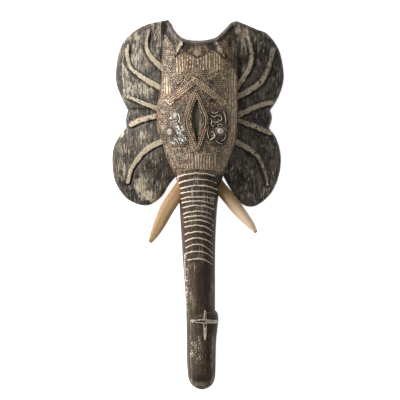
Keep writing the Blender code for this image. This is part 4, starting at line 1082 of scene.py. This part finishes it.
def plate_front(side):
    def worked(points):
        ground, ring, dome, rubbed = embossed(points, side)
        away = np.linalg.norm(points - EYES[side], axis=1)
        rise = PLATE_RELIEF * ground + EYE_STEP * ramp(14.5 - away, 0, 2) + EYE_RING * ring + EYE_BOSS * dome
        edge = near(points, PLATE_LOOPS[side], 12, closed=True)[0]
        # The right eye's boss faces away from the lamp and gets higher values here and in 'ball': painted
        # light on it
        ball = ramp(dome, 0.15, 0.7) * (0.28 + 0.14 * side + 0.40 * mottle(points, 3.2, 69))
        dark = patches(points, DARKENED[side])
        masks = {"beaten": np.clip(most(ground, ring * 0.8, ball), 0, 1), "rubbed": rubbed * (away > 14),
                 "dark": dark * (away > EYE_RADII[1] + 2),
                 "ball": ramp(dome, 0.1, 0.4) * (0.7 + 0.3 * side)}
        lift = (rise - PLATE_SET) * np.clip(edge / 3, 0, 1)
        return plate_under(points) + PLATE_THICKNESS + lift, masks
    return worked


def plate_under(points):
    return sheet_under(points) + SHEET_THICKNESS + SHEET_GAP


PLATE_LOOPS = [spaced(smooth_curve(plate, closed=True), 1.2, closed=True) for plate in PLATES]
silver = Finish("rubbed_silver_sheet")
clouds = silver.speckle((160.0, 160.0, 160.0), 4.0, 0.6)
fine = silver.speckle((1100.0, 1100.0, 700.0), 2.0, 0.6)
ridge = silver.mark("beaten") + (fine - 0.5) * 0.35 + (clouds - 0.5) * 0.3
rubbed_mark, dark_mark = silver.mark("rubbed"), silver.mark("dark")
# White flecks: partly bright metal, partly painted glints
flecks_and_glints = silver.speckle((330.0, 250.0, 330.0), 2.0, 0.55)
cracks = silver.speckle((300.0, 420.0, 300.0), 2.0, 0.55)
foil_with_glints = silver.coats(paint(122, 117, 102), [
    (flecks_and_glints, 0.50, 0.58, 1.0, paint(234, 230, 222)),
    (cracks, 0.50, 0.56, 0.85, paint(56, 53, 44)),
])
low_tone = silver.blend(dark_mark, paint(50, 39, 30), paint(34, 28, 22))
middle_tone = silver.blend(dark_mark * 0.7, paint(142, 120, 94), paint(76, 66, 54))
ball_tone = silver.coats(paint(120, 100, 80), [
    (clouds * 0.5 + fine * 0.5, 0.42, 0.56, 1.0, paint(206, 192, 176)),
    # Painted highlight: only the right eye's boss reaches this bright coat
    (silver.mark("ball"), 0.72, 0.95, 0.6, paint(246, 238, 228)),
])
foil_noise = (clouds * 0.35 + flecks_and_glints * 0.65 - 0.5) * 3.2
plate_colour = silver.coats(low_tone, [
    (ridge, 0.22, 0.50, 1.0, middle_tone),
    (ridge, 0.54, 0.80, 1.0, paint(222, 208, 184)),
])
plate_colour = silver.blend(silver.mark("ball") * 0.85, plate_colour, ball_tone)
plate_colour = silver.coats(plate_colour, [
    (rubbed_mark + foil_noise, 0.55, 0.90, silver.step(rubbed_mark, 0.05, 0.3), foil_with_glints),
])
plate_metal = silver.step(ridge, 0.3, 0.9) * (rubbed_mark * 0.35 + 0.15)
for number, side in enumerate(("left", "right")):
    plate = relief_piece("eye_plate_%s_embossed" % side, [PLATE_LOOPS[number]], PLATE_PITCH,
                         plate_front(number), plate_under, PLATE_BACK_PITCH)
    silver.finish(plate, plate_colour, 0.56 - rubbed_mark * 0.16, fine * 0.6 + clouds * 0.4, 0.0004,
                  plate_metal)
    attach(plate, "root")
    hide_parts("eye_plate_" + side)

# The tusks: two whittled pegs of pale bare wood, tapered to a blunt worn end and pushed into sockets
# in the sides of the trunk. Oil and handling have turned them orange, darker at the root and the tip.

TUSK_RADIUS = 0.0114
TUSK_AXIS_HEIGHT = 0.030
TUSK_AXES = [
    [(-40, 53), (-54, 32), (-72, 7), (-89, -21), (-103, -50), (-117, -78), (-131, -104)],
    [(42, 67), (61, 41), (84, 14), (104, -12), (123, -35), (141, -56), (156, -77)],
]
TUSK_TAPER = [1.0, 1.0, 1.0, 1.0, 0.99, 0.95, 0.88, 0.76, 0.57, 0.27]
TUSK_SCALE = (1.03, 0.91)
TUSK_RISE = [-0.003, -0.001, 0.0, 0.001, 0.002, 0.002, 0.001]
TUSK_STEPS = 44
TUSK_SIDES = 36
PEG_LENGTH = 0.018
WHITTLING = 0.0007

bare = Finish("oiled_pale_wood")
run = bare.mark("along")
outer_mark = bare.mark("outer")
way_along = bare.node("ShaderNodeCombineXYZ", {}, {"X": bare.mark("round") * 7.0, "Y": run * 6.0})
long_grain = bare.node("ShaderNodeTexNoise", {}, {"Vector": way_along, "Scale": 3.0, "Detail": 5.0,
                                                  "Roughness": 0.62})
knots = bare.speckle((150.0, 150.0, 150.0), 3.0, 0.6)
pores = bare.speckle((1500.0, 1500.0, 1500.0), 2.0, 0.5)
wood_tone = bare.coats(paint(132, 98, 58), [
    (long_grain, 0.34, 0.66, 1.0, paint(168, 134, 90)),
    (outer_mark + (long_grain - 0.5) * 0.6, 0.25, 0.85, 0.4, paint(176, 142, 102)),
    # Painted light: the tusks' inner side, in shade from the lamp, is made paler, more on the left tusk
    (outer_mark * -1.0 + (long_grain - 0.5) * 0.4, -0.35, 0.55, bare.mark("painted_light_on_shaded_side"), paint(228, 194, 148)),
])
wood_tone = bare.blend(bare.mark("bleached") * 0.85, wood_tone, paint(248, 224, 190))
wood_tone = bare.coats(wood_tone, [
    (run, 0.34, 0.12, 0.65, paint(142, 96, 54)),
    (run + (knots - 0.5) * 0.12, 0.955, 0.995, 0.75, paint(128, 92, 66)),
    (knots, 0.64, 0.72, 0.35, paint(130, 92, 60)),
])
for number, side in enumerate(("left", "right")):
    axis = np.array(TUSK_AXES[number], float)
    inward = (axis[0] - axis[1]) / np.linalg.norm(axis[0] - axis[1])
    axis[0] = axis[1] + inward * PEG_LENGTH / PART
    heights = TUSK_AXIS_HEIGHT + np.array(TUSK_RISE)
    path = smooth_curve(np.column_stack([(axis - MIDDLE) * PART, heights]), steps=20)
    path = spaced(path, travel_of(path)[-1] / TUSK_STEPS)
    share = np.linspace(0, 1, len(path))
    taper = np.interp(share, np.linspace(0, 1, len(TUSK_TAPER)), TUSK_TAPER)
    radii = TUSK_RADIUS * TUSK_SCALE[number] * taper
    way = np.gradient(path, axis=0)
    way /= np.linalg.norm(way, axis=1)[:, None]
    bpy.ops.object.select_all(action="DESELECT")
    bpy.ops.mesh.primitive_circle_add(vertices=TUSK_SIDES, radius=radii[0], fill_type="NGON",
                                      location=path[0])
    tusk = bpy.context.object
    tusk.name = tusk.data.name = "tusk_%s_whittled" % side
    tusk.rotation_mode = "QUATERNION"
    tusk.rotation_quaternion = Vector(way[0]).to_track_quat("Z", "Y")
    bpy.ops.object.transform_apply(location=True, rotation=True, scale=True)
    bpy.ops.object.mode_set(mode="EDIT")
    bpy.ops.mesh.select_all(action="SELECT")
    for step in range(1, len(path)):
        bpy.ops.mesh.extrude_region_move(TRANSFORM_OT_translate={"value": path[step] - path[step - 1]})
        turn = np.arctan2(way[step - 1, 1], way[step - 1, 0]) - np.arctan2(way[step, 1], way[step, 0])
        bpy.ops.transform.rotate(value=turn, orient_axis="Z", center_override=path[step])
        scale = radii[step] / radii[step - 1]
        bpy.ops.transform.resize(value=(scale, scale, scale), center_override=path[step])
    bpy.ops.mesh.inset(thickness=radii[-1] * 0.45, depth=radii[-1] * 0.25)
    turn_outward()
    rounded = tusk.modifiers.new("rounded", "SUBSURF")
    rounded.levels = rounded.render_levels = 1
    bpy.ops.object.modifier_apply(modifier="rounded")
    spots = np.array([v.co for v in tusk.data.vertices])
    gaps = ((spots[:, None] - path[None]) ** 2).sum(2)
    closest = gaps.argmin(axis=1)
    off = spots - path[closest]
    side_way = np.cross(way[closest], (0, 0, 1))
    side_way /= np.linalg.norm(side_way, axis=1)[:, None]
    across = (off * side_way).sum(1)
    angle = np.arctan2(off[:, 2], across)
    beyond = (off * way[closest]).sum(1) * TUSK_STEPS / travel_of(path)[-1]
    along = (closest + beyond) / (len(path) - 1)
    flats = mottle(np.column_stack([angle * 4, along * 60]), 3.0, 90 + number, (1.0, 6.0))
    outward = off / np.maximum(np.linalg.norm(off, axis=1), 1e-6)[:, None]
    carved = spots + outward * (WHITTLING * (flats - 0.5))[:, None]
    tusk.data.vertices.foreach_set("co", carved.astype(np.float32).ravel())
    keep_masks(tusk, {
        "along": along, "round": np.cos(angle) * 0.5 + 0.5,
        "outer": across / radii[closest] * (1 - 2 * number),
        "bleached": number * ramp(along, 0.2, 0.9), "painted_light_on_shaded_side": np.full(len(along), 0.9 - 0.6 * number),
    })
    tusk.data.update()
    bpy.ops.object.shade_smooth_by_angle(angle=radians(60))
    bare.finish(tusk, wood_tone, 0.52 + pores * 0.16, long_grain * 0.8 + pores * 0.2, 0.0005)
    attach(tusk, "root")
    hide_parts("tusk_" + side)

# The floor, the soft studio lights and the camera, which looks straight down on the mask.

FLOOR_SIZE = 12
FLOOR_DROP = 0.0005
LIGHTS_AIM = Vector((0, 0, 0.03))
CAMERA_PLACE = (0.0032, 0.0073, 3.643)
LIGHTS = [("key", (-2.0, 0.8, 1.15), 1.2, 92.0), ("fill", (0.3, -0.4, 2.8), 2.4, 9.0)]

bpy.ops.object.select_all(action="DESELECT")
bpy.ops.mesh.primitive_plane_add(size=FLOOR_SIZE, location=(0, 0, cad_box[0].z - FLOOR_DROP))
floor = bpy.context.object
floor.name = "floor"
bpy.ops.object.transform_apply(location=True, rotation=True, scale=True)
paper = Finish("white_paper")
tooth = paper.speckle((40.0, 40.0, 40.0), 3.0, 0.5)
paper.finish(floor, paper.blend(tooth, paint(249, 249, 248), paint(252, 252, 251)), 0.9, tooth, 0.0002)
paper.shader.inputs["Emission Color"].default_value = (1.0, 1.0, 1.0, 1.0)
paper.shader.inputs["Emission Strength"].default_value = 0.85

for name, place, size, power in LIGHTS:
    light = bpy.data.lights.new(name, "AREA")
    light.shape = "SQUARE"
    light.size = size
    light.energy = power
    lamp = bpy.data.objects.new(name, light)
    lamp.location = place
    lamp.rotation_euler = (LIGHTS_AIM - Vector(place)).to_track_quat("-Z", "Y").to_euler()
    bpy.context.scene.collection.objects.link(lamp)

world = bpy.data.worlds.new("studio")
world.use_nodes = True
world.node_tree.nodes["Background"].inputs["Color"].default_value = (1.0, 1.0, 1.0, 1.0)
world.node_tree.nodes["Background"].inputs["Strength"].default_value = 0.16
bpy.context.scene.world = world
bpy.context.scene.view_settings.view_transform = "Standard"

lens = bpy.data.cameras.new("camera")
lens.lens = 200
lens.sensor_width = 36
lens.clip_end = 50
camera = bpy.data.objects.new("camera", lens)
camera.location = CAMERA_PLACE
camera.rotation_euler = (0, 0, 0)
bpy.context.scene.collection.objects.link(camera)
bpy.context.scene.camera = camera
